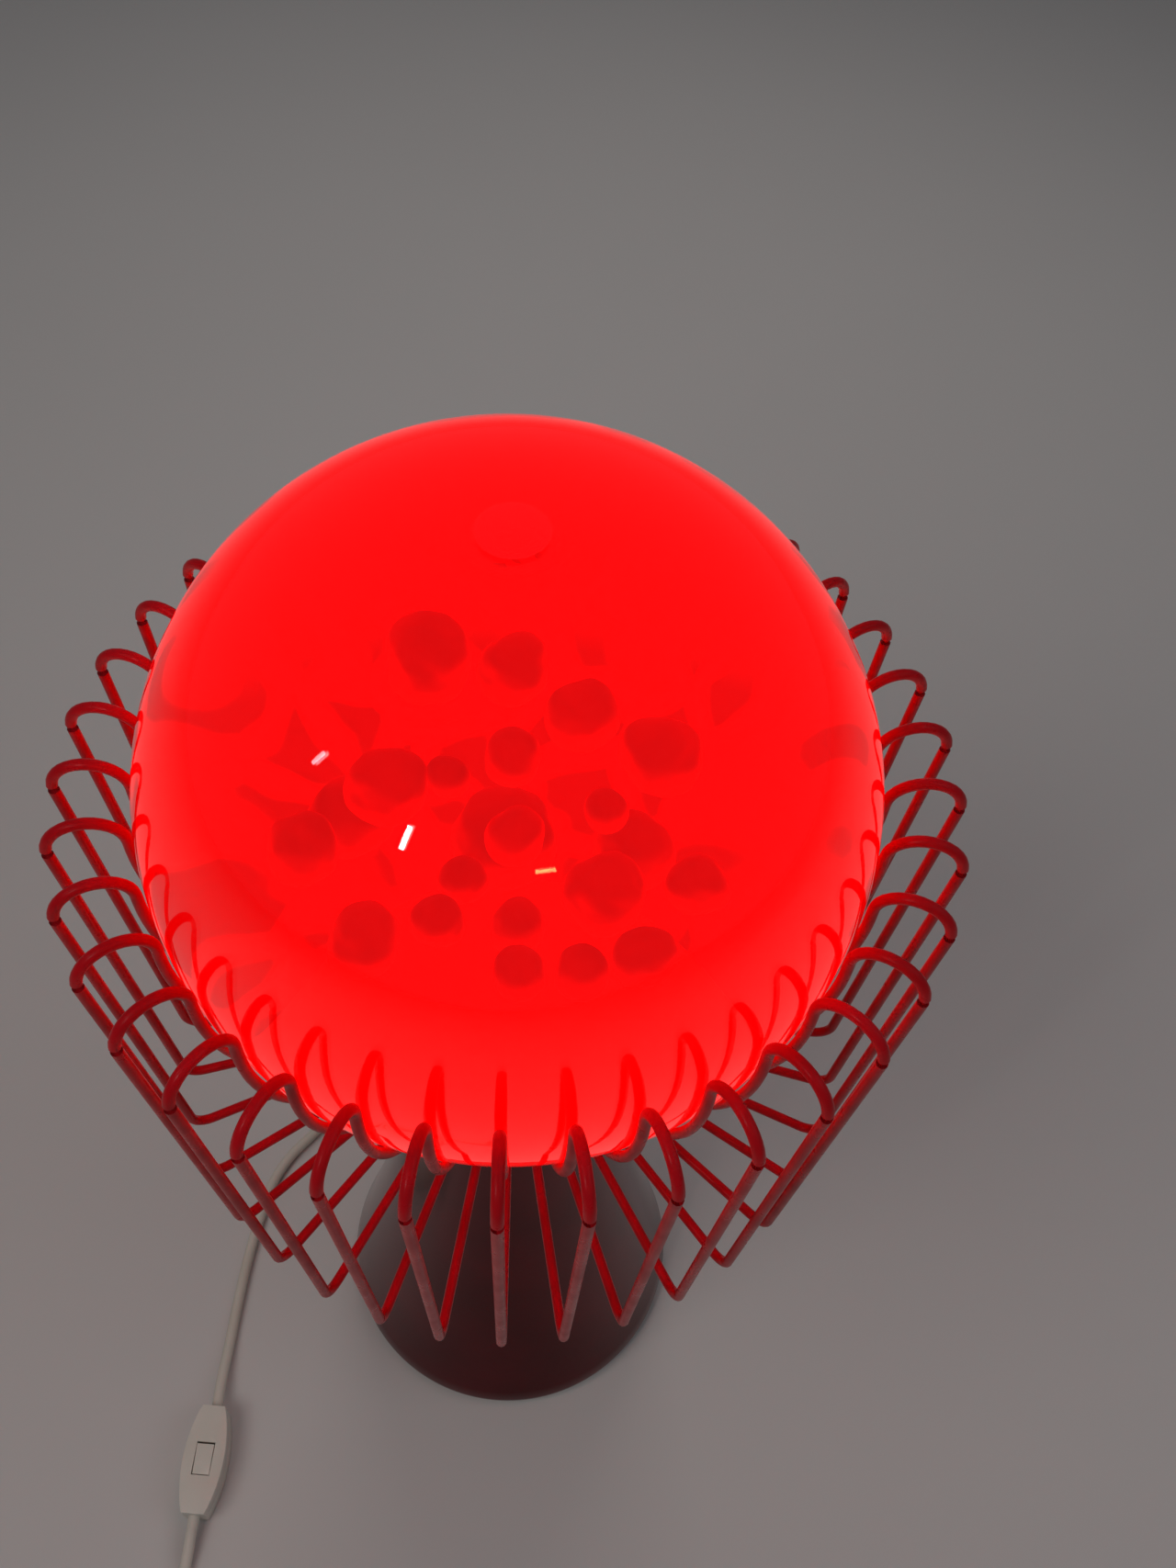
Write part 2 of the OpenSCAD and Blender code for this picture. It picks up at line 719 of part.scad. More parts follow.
module bulb_stem() {
  color([0.9, 0.95, 0.95, 0.6]) rotate_extrude() polygon([
    [0, screw_cap_z + 1], [9, screw_cap_z + 1], [9, screw_cap_z + 3],
    [3, screw_cap_z + 14], [2.5, screw_cap_z + 44], [0, screw_cap_z + 44]]);
}

module bulb_filament() {
  color("dimgray") translate([0, 0, screw_cap_z + 52]) {
    rotate_extrude(angle = 300) translate([9, 0]) circle(r = 0.5);
    for (a = [30, 150, 270]) rotate([0, 0, a]) {
      translate([9, 0, -14.6]) cylinder(r = 0.4, h = 14.6);
      translate([2, 0, -14]) rotate([0, 90, 0]) cylinder(r = 0.3, h = 7);
    }
  }
}

// ---- inside wiring ----

module terminal_block() {
  color(ivory) translate([-block_w / 2, block_y, deck_z]) difference() {
    cube([block_w, block_d, block_h]);
    for (x = [block_w / 2 - 5, block_w / 2 + 5]) translate([x, block_d / 2, block_h - 5])
      cylinder(r = 2.2, h = 6);
  }
}

module terminal_screws() {
  color(brass) for (x = [-5, 5]) translate([x, block_y + block_d / 2, deck_z + block_h - 5])
    cylinder(r = 2, h = 3.5);
}

module inner_cord() {
  color(ivory) translate([0, block_y + block_d, exit_z]) rotate([-90, 0, 0])
    cylinder(r = cord_r, h = gland_y - block_y - block_d);
}

module lead(x, shade) {
  foot = [lead_y, lead_z];
  color(shade) translate([x, 0, 0]) rotate([90, 0, 90]) {
    bar([lead_y, holder_base_z + 8], foot + [0, lead_bend_r], lead_r);
    bend(foot, [0, -1], [1, 0], lead_bend_r, lead_r);
    bar(foot + [lead_bend_r, 0], [block_y - ball_rise - lead_r, lead_z], lead_r);
  }
}
module lead_live() { lead(lead_x, "saddlebrown"); }
module lead_neutral() { lead(-lead_x, "royalblue"); }

// ---- cord ----

module cord_gland() {
  color("black") {
    translate([0, gland_y, exit_z]) rotate([-90, 0, 0])
      cylinder(r = gland_r, h = relief_start_y - gland_y);
    translate([0, relief_start_y - gland_flange_t, exit_z]) rotate([-90, 0, 0])
      cylinder(r = gland_r + 2, h = gland_flange_t);
    translate([0, relief_start_y, exit_z]) rotate([-90, 0, 0])
      cylinder(r1 = gland_r - 1, r2 = relief_end_r, h = relief_len);
  }
}

module gland_nut() {
  color("black") translate([0, gland_nut_y, exit_z]) rotate([-90, 0, 0]) difference() {
    hex(2 * gland_r + 4, gland_nut_t);
    translate([0, 0, -1]) cylinder(r = gland_r, h = gland_nut_t + 2);
  }
}

module cord_to_switch() {
  color(ivory) swept_tube(smooth_route(route_to_switch, 2), cord_r, cord_sides);
}
module cord_to_coil() {
  color(ivory) swept_tube(smooth_route(route_to_coil, 2), cord_r, cord_sides);
}
module cord_to_plug() {
  color(ivory) swept_tube(smooth_route(route_to_plug, 2), cord_r, cord_sides);
}

module cord_coil() {
  color(ivory) translate([coil_at[0], coil_at[1], 0]) tube(coil_out_r, coil_in_r, coil_h);
}

module coil_tie() {
  color("black") translate([coil_at[0], coil_at[1], 0]) rotate([0, 0, 60])
    translate([coil_in_r - tie_t, -tie_w / 2, 0]) difference() {
      cube([2 * (coil_half_w + tie_t), tie_w, coil_h + tie_t]);
      translate([tie_t, -1, -1]) cube([2 * coil_half_w, tie_w + 2, coil_h + 1]);
    }
}

// Outline of the switch seen from above: half width against place along it
function switch_half(t) = switch_end_w / 2
  + (switch_w - switch_end_w) / 2 * pow(cos(90 * t), 0.8);
switch_outline = concat(
  [for (i = [-8:8]) [switch_half(abs(i) / 8), i / 8 * switch_len / 2]],
  [for (i = [8:-1:-8]) [-switch_half(abs(i) / 8), i / 8 * switch_len / 2]]);

module switch_place() {
  translate([switch_at[0], switch_at[1], 0]) rotate([0, 0, switch_turn]) children();
}

module switch_lower() {
  color(ivory) switch_place() difference() {
    linear_extrude(half_split_z) polygon(switch_outline);
    translate([-switch_w / 2 + 2 * shell_wall, -switch_box_l / 2, shell_wall])
      cube([switch_w - 4 * shell_wall, switch_box_l, half_split_z]);
    for (y = [-switch_screw_y, switch_screw_y]) translate([0, y, -1])
      cylinder(d = switch_screw_d + switch_screw_gap, h = half_split_z + 2);
  }
}

module switch_upper() {
  color(ivory) switch_place() difference() {
    translate([0, 0, half_split_z]) linear_extrude(switch_h - half_split_z) polygon(switch_outline);
    translate([-rocker_w / 2 - rocker_side_gap, -rocker_len / 2 - rocker_end_gap, half_split_z - 1])
      cube([rocker_w + 2 * rocker_side_gap, rocker_len + 2 * rocker_end_gap, switch_h]);
    translate([-rocker_w / 2 - rocker_pin_out - 1, 0, pin_z]) rotate([0, 90, 0])
      cylinder(d = rocker_pin_d + 2 * rocker_fit, h = rocker_w + 2 * rocker_pin_out + 2);
    for (y = [-switch_screw_y, switch_screw_y]) translate([0, y, half_split_z - 1])
      cylinder(d = switch_screw_d + switch_screw_gap, h = 5);
  }
}

module switch_rocker() {
  color("white") switch_place() translate([0, 0, pin_z]) rotate([rocker_tilt, 0, 0]) union() {
    translate([-rocker_w / 2, -rocker_len / 2, -rocker_under])
      cube([rocker_w, rocker_len, rocker_under + rocker_top]);
    translate([-rocker_w / 2, -rocker_stem_w / 2, -rocker_stem_z])
      cube([rocker_w, rocker_stem_w, rocker_stem_z]);
    translate([-rocker_w / 2 - rocker_pin_out, 0, 0]) rotate([0, 90, 0])
      cylinder(d = rocker_pin_d, h = rocker_w + 2 * rocker_pin_out);
  }
}

module switch_contacts() {
  color(brass) switch_place() for (y = [-1, 1])
    translate([-3, (y - 0.5) * contact_l, shell_wall]) {
      cube([6, contact_l, contact_t]);
      translate([0, y > 0 ? 0 : contact_l - contact_t, 0]) cube([6, contact_t, 5]);
    }
}

module switch_screws() {
  color(steel) switch_place() for (y = [-switch_screw_y, switch_screw_y])
    translate([0, y, 0.6]) cylinder(d = switch_screw_d, h = half_split_z + 2);
}

module plug_body() {
  color(ivory) translate([plug_at[0], plug_at[1], plug_z]) rotate([0, 90, 0]) {
    cylinder(r1 = cord_r + plug_sleeve_t, r2 = plug_relief_r, h = plug_relief_len);
    translate([-plug_h / 2, -plug_w / 2, plug_relief_len]) cube([plug_h, plug_w, plug_len]);
  }
}

module plug_pins() {
  color(brass) for (y = [-plug_pin_gap / 2, plug_pin_gap / 2])
    translate([plug_at[0] + plug_relief_len + plug_len, plug_at[1] + y, plug_z]) rotate([0, 90, 0])
      cylinder(d = plug_pin_d, h = plug_pin_len);
}

globe_glass();
filler_cap();
cap_seal();
heating_coil();
wax_pool();
wax_left();
wax_middle();
wax_right();
crown_wires();
crown_hub();
globe_seat();
hub_screws();
hub_nuts();
base_shell();
bottom_plate();
plate_brackets();
plate_screws();
rubber_feet();
base_weight();
lamp_tube();
tube_nuts();
tube_washers();
holder_cap();
holder_body();
holder_ring();
holder_insert();
holder_sleeve();
holder_contact();
bulb_glass();
bulb_cap();
bulb_contact();
bulb_stem();
bulb_filament();
terminal_block();
terminal_screws();
inner_cord();
lead_live();
lead_neutral();
cord_gland();
gland_nut();
cord_to_switch();
switch_lower();
switch_upper();
switch_rocker();
switch_contacts();
switch_screws();
cord_to_coil();
cord_coil();
coil_tie();
cord_to_plug();
plug_body();
plug_pins();
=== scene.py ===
# Globe lava lamp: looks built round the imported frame. Metres, +Z up, table at z = 0.
import json
import math

import bpy
from mathutils import Matrix, Vector


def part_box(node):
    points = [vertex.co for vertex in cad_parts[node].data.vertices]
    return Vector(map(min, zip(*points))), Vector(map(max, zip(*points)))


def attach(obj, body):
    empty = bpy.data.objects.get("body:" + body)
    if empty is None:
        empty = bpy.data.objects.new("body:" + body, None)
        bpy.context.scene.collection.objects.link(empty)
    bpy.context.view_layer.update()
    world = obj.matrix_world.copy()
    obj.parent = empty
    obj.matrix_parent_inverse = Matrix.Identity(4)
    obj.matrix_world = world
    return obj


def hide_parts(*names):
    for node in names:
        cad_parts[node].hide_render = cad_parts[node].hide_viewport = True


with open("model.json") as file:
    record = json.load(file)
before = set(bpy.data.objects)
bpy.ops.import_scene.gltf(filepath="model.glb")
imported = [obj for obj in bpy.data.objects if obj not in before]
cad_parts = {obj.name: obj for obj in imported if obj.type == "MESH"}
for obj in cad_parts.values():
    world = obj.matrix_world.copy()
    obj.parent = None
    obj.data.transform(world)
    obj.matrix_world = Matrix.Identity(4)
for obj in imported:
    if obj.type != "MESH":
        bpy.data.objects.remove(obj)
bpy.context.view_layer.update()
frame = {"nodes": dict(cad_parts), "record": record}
nodes = frame["nodes"]
scene = bpy.context.scene
print("stage: frame loaded,", len(nodes), "nodes")


# helpers that pick up, shape and finish a piece

def clearSelection():
    if bpy.context.mode != "OBJECT":
        bpy.ops.object.mode_set(mode="OBJECT")
    bpy.ops.object.select_all(action="DESELECT")


def pickUp(piece):
    clearSelection()
    piece.select_set(True)
    bpy.context.view_layer.objects.active = piece


def freezePlace(piece):  # the piece's place goes into its mesh
    pickUp(piece)
    bpy.ops.object.transform_apply(location=True, rotation=True, scale=True)


def useModifier(piece, kind, **settings):
    pickUp(piece)
    bpy.ops.object.modifier_add(type=kind)
    modifier = piece.modifiers[-1]
    for setting, value in settings.items():
        setattr(modifier, setting, value)
    bpy.ops.object.modifier_apply(modifier=modifier.name)


def roundEdges(piece, width, segments=2, angle=35):
    useModifier(piece, "BEVEL", width=width, segments=segments,
                limit_method="ANGLE", angle_limit=math.radians(angle))


def faceOutwards(piece):
    pickUp(piece)
    bpy.ops.object.mode_set(mode="EDIT")
    bpy.ops.mesh.select_all(action="SELECT")
    bpy.ops.mesh.remove_doubles(threshold=0.000002)
    bpy.ops.mesh.normals_make_consistent(inside=False)
    bpy.ops.object.mode_set(mode="OBJECT")


def shadeSmooth(piece, angle=40):
    pickUp(piece)
    bpy.ops.object.shade_smooth_by_angle(angle=math.radians(angle))


def joinPieces(pieces, name):
    clearSelection()
    for piece in pieces:
        piece.select_set(True)
    bpy.context.view_layer.objects.active = pieces[0]
    if len(pieces) > 1:
        bpy.ops.object.join()
    pieces[0].name = name
    return pieces[0]


def finishPiece(piece, name, body, material, replaced=()):
    freezePlace(piece)
    piece.name = name
    piece.data.name = name
    piece.data.materials.clear()
    piece.data.materials.append(material)
    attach(piece, body)
    if replaced:
        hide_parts(*replaced)
    return piece


def turnedShape(name, outline, sides=96, ring=False, capStart=False):
    startRadius, height = outline[0]
    clearSelection()
    bpy.ops.mesh.primitive_circle_add(vertices=sides, radius=startRadius,
                                      location=(0, 0, height))
    piece = bpy.context.object
    piece.name = name
    freezePlace(piece)
    bpy.ops.object.mode_set(mode="EDIT")
    bpy.ops.mesh.select_mode(type="VERT")
    bpy.ops.mesh.select_all(action="SELECT")
    radius = startRadius
    for nextRadius, nextHeight in outline[1:]:
        bpy.ops.mesh.extrude_edges_move(
            TRANSFORM_OT_translate={"value": (0, 0, nextHeight - height)})
        if nextRadius > 0:
            grow = nextRadius / radius
            bpy.ops.transform.resize(value=(grow, grow, 1),
                                     center_override=(0, 0, nextHeight))
            radius = nextRadius
        else:
            bpy.ops.mesh.merge(type="CENTER")
        height = nextHeight
    if ring:
        bpy.ops.mesh.select_all(action="DESELECT")
        bpy.ops.mesh.select_non_manifold()
        bpy.ops.mesh.bridge_edge_loops()
    if capStart:
        bpy.ops.mesh.select_all(action="DESELECT")
        bpy.ops.mesh.select_non_manifold()
        bpy.ops.mesh.edge_face_add()
    bpy.ops.object.mode_set(mode="OBJECT")
    faceOutwards(piece)
    return piece


def arcPoints(centre, radius, start, end, steps):
    angles = [math.radians(start + (end - start) * i / steps) for i in range(steps + 1)]
    return [(centre[0] + radius * math.cos(angle), centre[1] + radius * math.sin(angle))
            for angle in angles]


def bendPoints(before, corner, after, radius, steps=6):  # rounds one corner
    a, b, c = Vector(before), Vector(corner), Vector(after)
    come, leave = (b - a).normalized(), (c - b).normalized()
    turn = math.acos(max(-1, min(1, come.dot(leave))))
    side = 1 if come.x * leave.y - come.y * leave.x > 0 else -1
    start = b - come * radius * math.tan(turn / 2)
    centre = start + Vector((-come.y, come.x)) * radius * side
    spoke = start - centre
    made = []
    for i in range(steps + 1):
        angle = side * turn * i / steps
        made.append((centre.x + spoke.x * math.cos(angle) - spoke.y * math.sin(angle),
                     centre.y + spoke.x * math.sin(angle) + spoke.y * math.cos(angle)))
    return made


def curvePiece(name, points, radius, smooth, closed=False, roundness=5):
    curve = bpy.data.curves.new(name, "CURVE")
    curve.dimensions = "3D"
    curve.bevel_depth = radius
    curve.bevel_resolution = roundness
    curve.use_fill_caps = not closed
    curve.resolution_u = smooth
    curve.twist_mode = "Z_UP"
    if smooth > 1:
        spline = curve.splines.new("BEZIER")
        spline.bezier_points.add(len(points) - 1)
        for knot, point in zip(spline.bezier_points, points):
            knot.co = point
            knot.handle_left_type = knot.handle_right_type = "AUTO"
    else:
        spline = curve.splines.new("POLY")
        spline.points.add(len(points) - 1)
        for knot, point in zip(spline.points, points):
            knot.co = (*point, 1)
    spline.use_cyclic_u = closed
    spline.use_smooth = True
    piece = bpy.data.objects.new(name, curve)
    scene.collection.objects.link(piece)
    return piece


# camera: looks down on the globe from in front

camera = {"place": (0.0073, -0.2923, 0.8800), "aim": (0.0258, 0.0, 0.4745),
          "roll": 4.25, "lens": 33.74, "sensor": 36, "nearest": 0.01}
clearSelection()
bpy.ops.object.camera_add(location=camera["place"])
cameraPiece = bpy.context.object
sight = Vector(camera["aim"]) - Vector(camera["place"])
look = sight.to_track_quat("-Z", "Y").to_matrix().to_4x4()
roll = Matrix.Rotation(math.radians(camera["roll"]), 4, "Z")
cameraPiece.matrix_world = Matrix.Translation(camera["place"]) @ look @ roll
cameraPiece.data.lens = camera["lens"]
cameraPiece.data.sensor_width = camera["sensor"]
cameraPiece.data.clip_start = camera["nearest"]
scene.camera = cameraPiece


# materials

def newGroup(name, inputs, outputs):
    group = bpy.data.node_groups.new(name, "ShaderNodeTree")
    for label, kind, value in inputs:
        socket = group.interface.new_socket(name=label, in_out="INPUT", socket_type=kind)
        socket.default_value = value
    for label, kind in outputs:
        group.interface.new_socket(name=label, in_out="OUTPUT", socket_type=kind)
    return group, group.nodes.new("NodeGroupInput"), group.nodes.new("NodeGroupOutput")


def agedSurfaceGroup():
    group, given, made = newGroup("agedSurface", [
        ("Colour", "NodeSocketColor", (0.5, 0.5, 0.5, 1)),
        ("Aged Colour", "NodeSocketColor", (0.4, 0.4, 0.4, 1)),
        ("Patch Scale", "NodeSocketFloat", 30.0),
        ("Roughness", "NodeSocketFloat", 0.4),
        ("Roughness Spread", "NodeSocketFloat", 0.1),
        ("Grain Scale", "NodeSocketFloat", 2000.0),
        ("Grain Depth", "NodeSocketFloat", 0.00002),
    ], [
        ("Colour", "NodeSocketColor"),
        ("Roughness", "NodeSocketFloat"),
        ("Normal", "NodeSocketVector"),
    ])
    link = group.links.new
    place = group.nodes.new("ShaderNodeTexCoord")
    patches = group.nodes.new("ShaderNodeTexNoise")
    patches.inputs["Detail"].default_value = 5
    link(place.outputs["Object"], patches.inputs["Vector"])
    link(given.outputs["Patch Scale"], patches.inputs["Scale"])
    contrast = group.nodes.new("ShaderNodeMapRange")
    contrast.inputs["From Min"].default_value = 0.38
    contrast.inputs["From Max"].default_value = 0.66
    link(patches.outputs["Fac"], contrast.inputs["Value"])
    tone = group.nodes.new("ShaderNodeMix")
    tone.data_type = "RGBA"
    link(contrast.outputs["Result"], tone.inputs["Factor"])
    link(given.outputs["Colour"], tone.inputs["A"])
    link(given.outputs["Aged Colour"], tone.inputs["B"])
    spread = group.nodes.new("ShaderNodeMath")
    spread.operation = "MULTIPLY_ADD"
    link(contrast.outputs["Result"], spread.inputs[0])
    link(given.outputs["Roughness Spread"], spread.inputs[1])
    link(given.outputs["Roughness"], spread.inputs[2])
    grain = group.nodes.new("ShaderNodeTexNoise")
    grain.inputs["Detail"].default_value = 3
    link(place.outputs["Object"], grain.inputs["Vector"])
    link(given.outputs["Grain Scale"], grain.inputs["Scale"])
    bump = group.nodes.new("ShaderNodeBump")
    link(given.outputs["Grain Depth"], bump.inputs["Distance"])
    link(grain.outputs["Fac"], bump.inputs["Height"])
    link(tone.outputs["Result"], made.inputs["Colour"])
    link(spread.outputs["Value"], made.inputs["Roughness"])
    link(bump.outputs["Normal"], made.inputs["Normal"])
    return group


agedSurface = agedSurfaceGroup()


def finish(name, colour, aged, patch, rough, spread, grain, depth, **fixed):
    material = bpy.data.materials.new(name)
    material.use_nodes = True
    tree = material.node_tree
    shader = tree.nodes["Principled BSDF"]
    group = tree.nodes.new("ShaderNodeGroup")
    group.node_tree = agedSurface
    for label, value in (("Colour", (*colour, 1)), ("Aged Colour", (*aged, 1)),
                         ("Patch Scale", patch), ("Roughness", rough), ("Roughness Spread", spread),
                         ("Grain Scale", grain), ("Grain Depth", depth)):
        group.inputs[label].default_value = value
    tree.links.new(group.outputs["Colour"], shader.inputs["Base Color"])
    tree.links.new(group.outputs["Roughness"], shader.inputs["Roughness"])
    tree.links.new(group.outputs["Normal"], shader.inputs["Normal"])
    for label, value in fixed.items():
        shader.inputs[label.replace("_", " ")].default_value = value
    return material


def addPaintedGlow(material, mask, colour, dim, strength):  # painted glow standing for the bulb's light: dims where the mask is high
    tree = material.node_tree
    shader = tree.nodes["Principled BSDF"]
    mix = tree.nodes.new("ShaderNodeMix")
    mix.data_type = "RGBA"
    mix.inputs["A"].default_value = (*colour, 1)
    mix.inputs["B"].default_value = (*dim, 1)
    tree.links.new(mask, mix.inputs["Factor"])
    tree.links.new(mix.outputs["Result"], shader.inputs["Emission Color"])
    shader.inputs["Emission Strength"].default_value = strength


def topMask(material, low, high):  # high on a drop's top, which the lamp below doesn't reach
    tree = material.node_tree
    place = tree.nodes.new("ShaderNodeTexCoord")
    split = tree.nodes.new("ShaderNodeSeparateXYZ")
    cut = tree.nodes.new("ShaderNodeMapRange")
    cut.interpolation_type = "SMOOTHSTEP"
    cut.inputs["From Min"].default_value = low
    cut.inputs["From Max"].default_value = high
    tree.links.new(place.outputs["Normal"], split.inputs["Vector"])
    tree.links.new(split.outputs["Z"], cut.inputs["Value"])
    return cut.outputs["Result"]


def addCover(material, clearAbove, fullBelow, thinnest):  # where the painted glow lining is opaque: full low down, and from inside, so its back wall's painted glow shows through the clear top
    tree = material.node_tree
    place = tree.nodes.new("ShaderNodeTexCoord")
    split = tree.nodes.new("ShaderNodeSeparateXYZ")
    tree.links.new(place.outputs["Object"], split.inputs["Vector"])
    cover = tree.nodes.new("ShaderNodeMapRange")
    for label, value in (("From Min", clearAbove), ("From Max", fullBelow),
                         ("To Min", thinnest), ("To Max", 1.0)):
        cover.inputs[label].default_value = value
    tree.links.new(split.outputs["Z"], cover.inputs["Value"])
    seen = tree.nodes.new("ShaderNodeNewGeometry")
    most = tree.nodes.new("ShaderNodeMath")
    most.operation = "MAXIMUM"
    tree.links.new(cover.outputs["Result"], most.inputs[0])
    tree.links.new(seen.outputs["Backfacing"], most.inputs[1])
    tree.links.new(most.outputs["Value"], tree.nodes["Principled BSDF"].inputs["Alpha"])


def cellMask(material, scale, above, below):  # painted shade in cells of wax clumps, with painted glow in thin bright veins at their edges
    tree = material.node_tree
    place = tree.nodes.new("ShaderNodeTexCoord")
    wander = tree.nodes.new("ShaderNodeTexNoise")
    wander.inputs["Scale"].default_value = scale * 0.6
    shift = tree.nodes.new("ShaderNodeVectorMath")
    shift.operation = "MULTIPLY_ADD"
    shift.inputs[1].default_value = (0.03, 0.03, 0.03)  # how far the veins wander
    cells = tree.nodes.new("ShaderNodeTexVoronoi")
    cells.feature = "DISTANCE_TO_EDGE"
    cells.inputs["Scale"].default_value = scale
    inside = tree.nodes.new("ShaderNodeMapRange")
    inside.interpolation_type = "SMOOTHSTEP"
    inside.inputs["From Min"].default_value = 0.03  # a vein's half width
    inside.inputs["From Max"].default_value = 0.24  # where a cell's painted shade is full
    split = tree.nodes.new("ShaderNodeSeparateXYZ")
    bowl = tree.nodes.new("ShaderNodeMapRange")
    bowl.inputs["From Min"].default_value = above
    bowl.inputs["From Max"].default_value = below
    both = tree.nodes.new("ShaderNodeMath")
    both.operation = "MULTIPLY"
    tree.links.new(place.outputs["Object"], wander.inputs["Vector"])
    tree.links.new(wander.outputs["Color"], shift.inputs[0])
    tree.links.new(place.outputs["Object"], shift.inputs[2])
    tree.links.new(shift.outputs["Vector"], cells.inputs["Vector"])
    tree.links.new(cells.outputs["Distance"], inside.inputs["Value"])
    tree.links.new(place.outputs["Object"], split.inputs["Vector"])
    tree.links.new(split.outputs["Z"], bowl.inputs["Value"])
    tree.links.new(inside.outputs["Result"], both.inputs[0])
    tree.links.new(bowl.outputs["Result"], both.inputs[1])
    return both.outputs["Value"]


def streakShadeMask(material, scale, low, high, stretch):  # sparse drifting streaks of painted shade in a painted glow, for wax film in the liquid
    tree = material.node_tree
    place = tree.nodes.new("ShaderNodeTexCoord")
    turn = tree.nodes.new("ShaderNodeMapping")
    turn.inputs["Scale"].default_value = stretch
    streaks = tree.nodes.new("ShaderNodeTexNoise")
    streaks.inputs["Scale"].default_value = scale
    streaks.inputs["Detail"].default_value = 6
    streaks.inputs["Distortion"].default_value = 1.2
    cut = tree.nodes.new("ShaderNodeMapRange")
    cut.inputs["From Min"].default_value = low
    cut.inputs["From Max"].default_value = high
    tree.links.new(place.outputs["Object"], turn.inputs["Vector"])
    tree.links.new(turn.outputs["Vector"], streaks.inputs["Vector"])
    tree.links.new(streaks.outputs["Fac"], cut.inputs["Value"])
    return cut.outputs["Result"]


paint = {  # colour, aged colour, patch scale, roughness and its spread, grain scale and depth
    "wire": finish("redCoating", (0.56, 0.004, 0.010), (0.44, 0.003, 0.007),
                   60, 0.26, 0.10, 900, 0.00001, Specular_IOR_Level=0.2),
    "lacquer": finish("redLacquer", (0.125, 0.002, 0.005), (0.090, 0.0015, 0.003),
                      18, 0.08, 0.05, 260, 0.000008, Metallic=1.0),
    "rubber": finish("blackRubber", (0.022, 0.021, 0.021), (0.035, 0.032, 0.030),
                     60, 0.62, 0.18, 1600, 0.00006),
    "zinc": finish("zincSteel", (0.62, 0.62, 0.64), (0.50, 0.50, 0.53),
                   45, 0.28, 0.2, 900, 0.00002, Metallic=1.0),
    "iron": finish("castIron", (0.075, 0.075, 0.08), (0.05, 0.045, 0.04),
                   40, 0.55, 0.2, 500, 0.0002, Metallic=0.6),
    "holder": finish("holderPlastic", (0.82, 0.79, 0.72), (0.74, 0.69, 0.60),
                     25, 0.38, 0.1, 1800, 0.00002),
    "brass": finish("brass", (0.78, 0.57, 0.22), (0.55, 0.38, 0.14),
                    70, 0.25, 0.2, 900, 0.00002, Metallic=1.0),
    "cap": finish("capMetal", (0.78, 0.78, 0.79), (0.66, 0.66, 0.68),
                  60, 0.30, 0.15, 1200, 0.00002, Metallic=1.0),
    "black": finish("blackPlastic", (0.02, 0.02, 0.02), (0.03, 0.03, 0.03),
                    50, 0.32, 0.1, 1800, 0.00002),
    "filament": finish("filamentWire", (0.30, 0.29, 0.28), (0.2, 0.2, 0.2),
                       90, 0.45, 0.1, 2500, 0.00001, Metallic=1.0),
    "sheath": finish("cordSheath", (0.72, 0.66, 0.58), (0.62, 0.56, 0.47),
                     22, 0.42, 0.12, 700, 0.00006),
    "brown": finish("leadBrown", (0.16, 0.06, 0.02), (0.12, 0.045, 0.015),
                    60, 0.4, 0.1, 1500, 0.00002),
    "blue": finish("leadBlue", (0.03, 0.10, 0.35), (0.02, 0.07, 0.27),
                   60, 0.4, 0.1, 1500, 0.00002),
    "switch": finish("switchPlastic", (0.76, 0.71, 0.63), (0.68, 0.62, 0.53),
                     20, 0.30, 0.12, 1400, 0.00003, Coat_Weight=0.2, Coat_Roughness=0.2),
    "glass": finish("clearGlass", (1.0, 0.975, 0.97), (1.0, 0.965, 0.96),
                    12, 0.0, 0.012, 30, 0.00002,
                    Transmission_Weight=1.0, IOR=1.42, Specular_IOR_Level=0.2),
    "bulb": finish("frostedBulb", (0.92, 0.9, 0.88), (0.88, 0.86, 0.84),
                   40, 0.35, 0.1, 1500, 0.00003, Transmission_Weight=0.6, IOR=1.5),
    # the liquid, lining, wax and pool below also get a painted glow that stands for the bulb's light
    "liquid": finish("lavaLiquid", (0.90, 0.0015, 0.0025), (0.86, 0.0012, 0.002),
                     14, 0.0, 0.0, 30, 0.0, Transmission_Weight=1.0, IOR=1.36),
    "film": finish("paintedGlowWaxLining", (0.10, 0.0005, 0.001), (0.08, 0.0004, 0.001),
                   30, 0.5, 0.1, 300, 0.0),
    "wax": finish("moltenWax", (0.10, 0.0005, 0.001), (0.07, 0.0004, 0.001),
                  60, 0.5, 0.1, 300, 0.0001),
    "pool": finish("waxPool", (0.30, 0.001, 0.002), (0.24, 0.001, 0.002),
                   60, 0.5, 0.1, 300, 0.0001),
}
paintedGlow = {  # painted glow standing for the bulb's light: each one's strength, its colours from bright to dim, and where it changes
    "liquid": 0.07, "liquidTones": ((1.0, 0.0, 0.004), (0.33, 0.0, 0.002)),
    "streakScale": 45, "liquidStreaks": (0.60, 0.72), "liquidStretch": (1, 1, 1.8),
    "film": 2.2, "filmTones": ((1.0, 0.0, 0.004), (0.26, 0.0, 0.001)),
    "cellScale": 52, "cellHeights": (0.430, 0.395),  # no cells above, full cells below
    "coverHeights": (0.445, 0.385), "thinnestCover": 0.07,
    "wax": 1.0, "waxTones": ((1.3, 0.02, 0.012), (0.38, 0.0, 0.001)), "waxTurn": (-0.25, 0.75),
    "pool": 1.6, "poolTones": ((1.0, 0.01, 0.004), (0.55, 0.0, 0.002)),
    "poolStreaks": (0.40, 0.75), "poolStretch": (1, 1, 1),
}
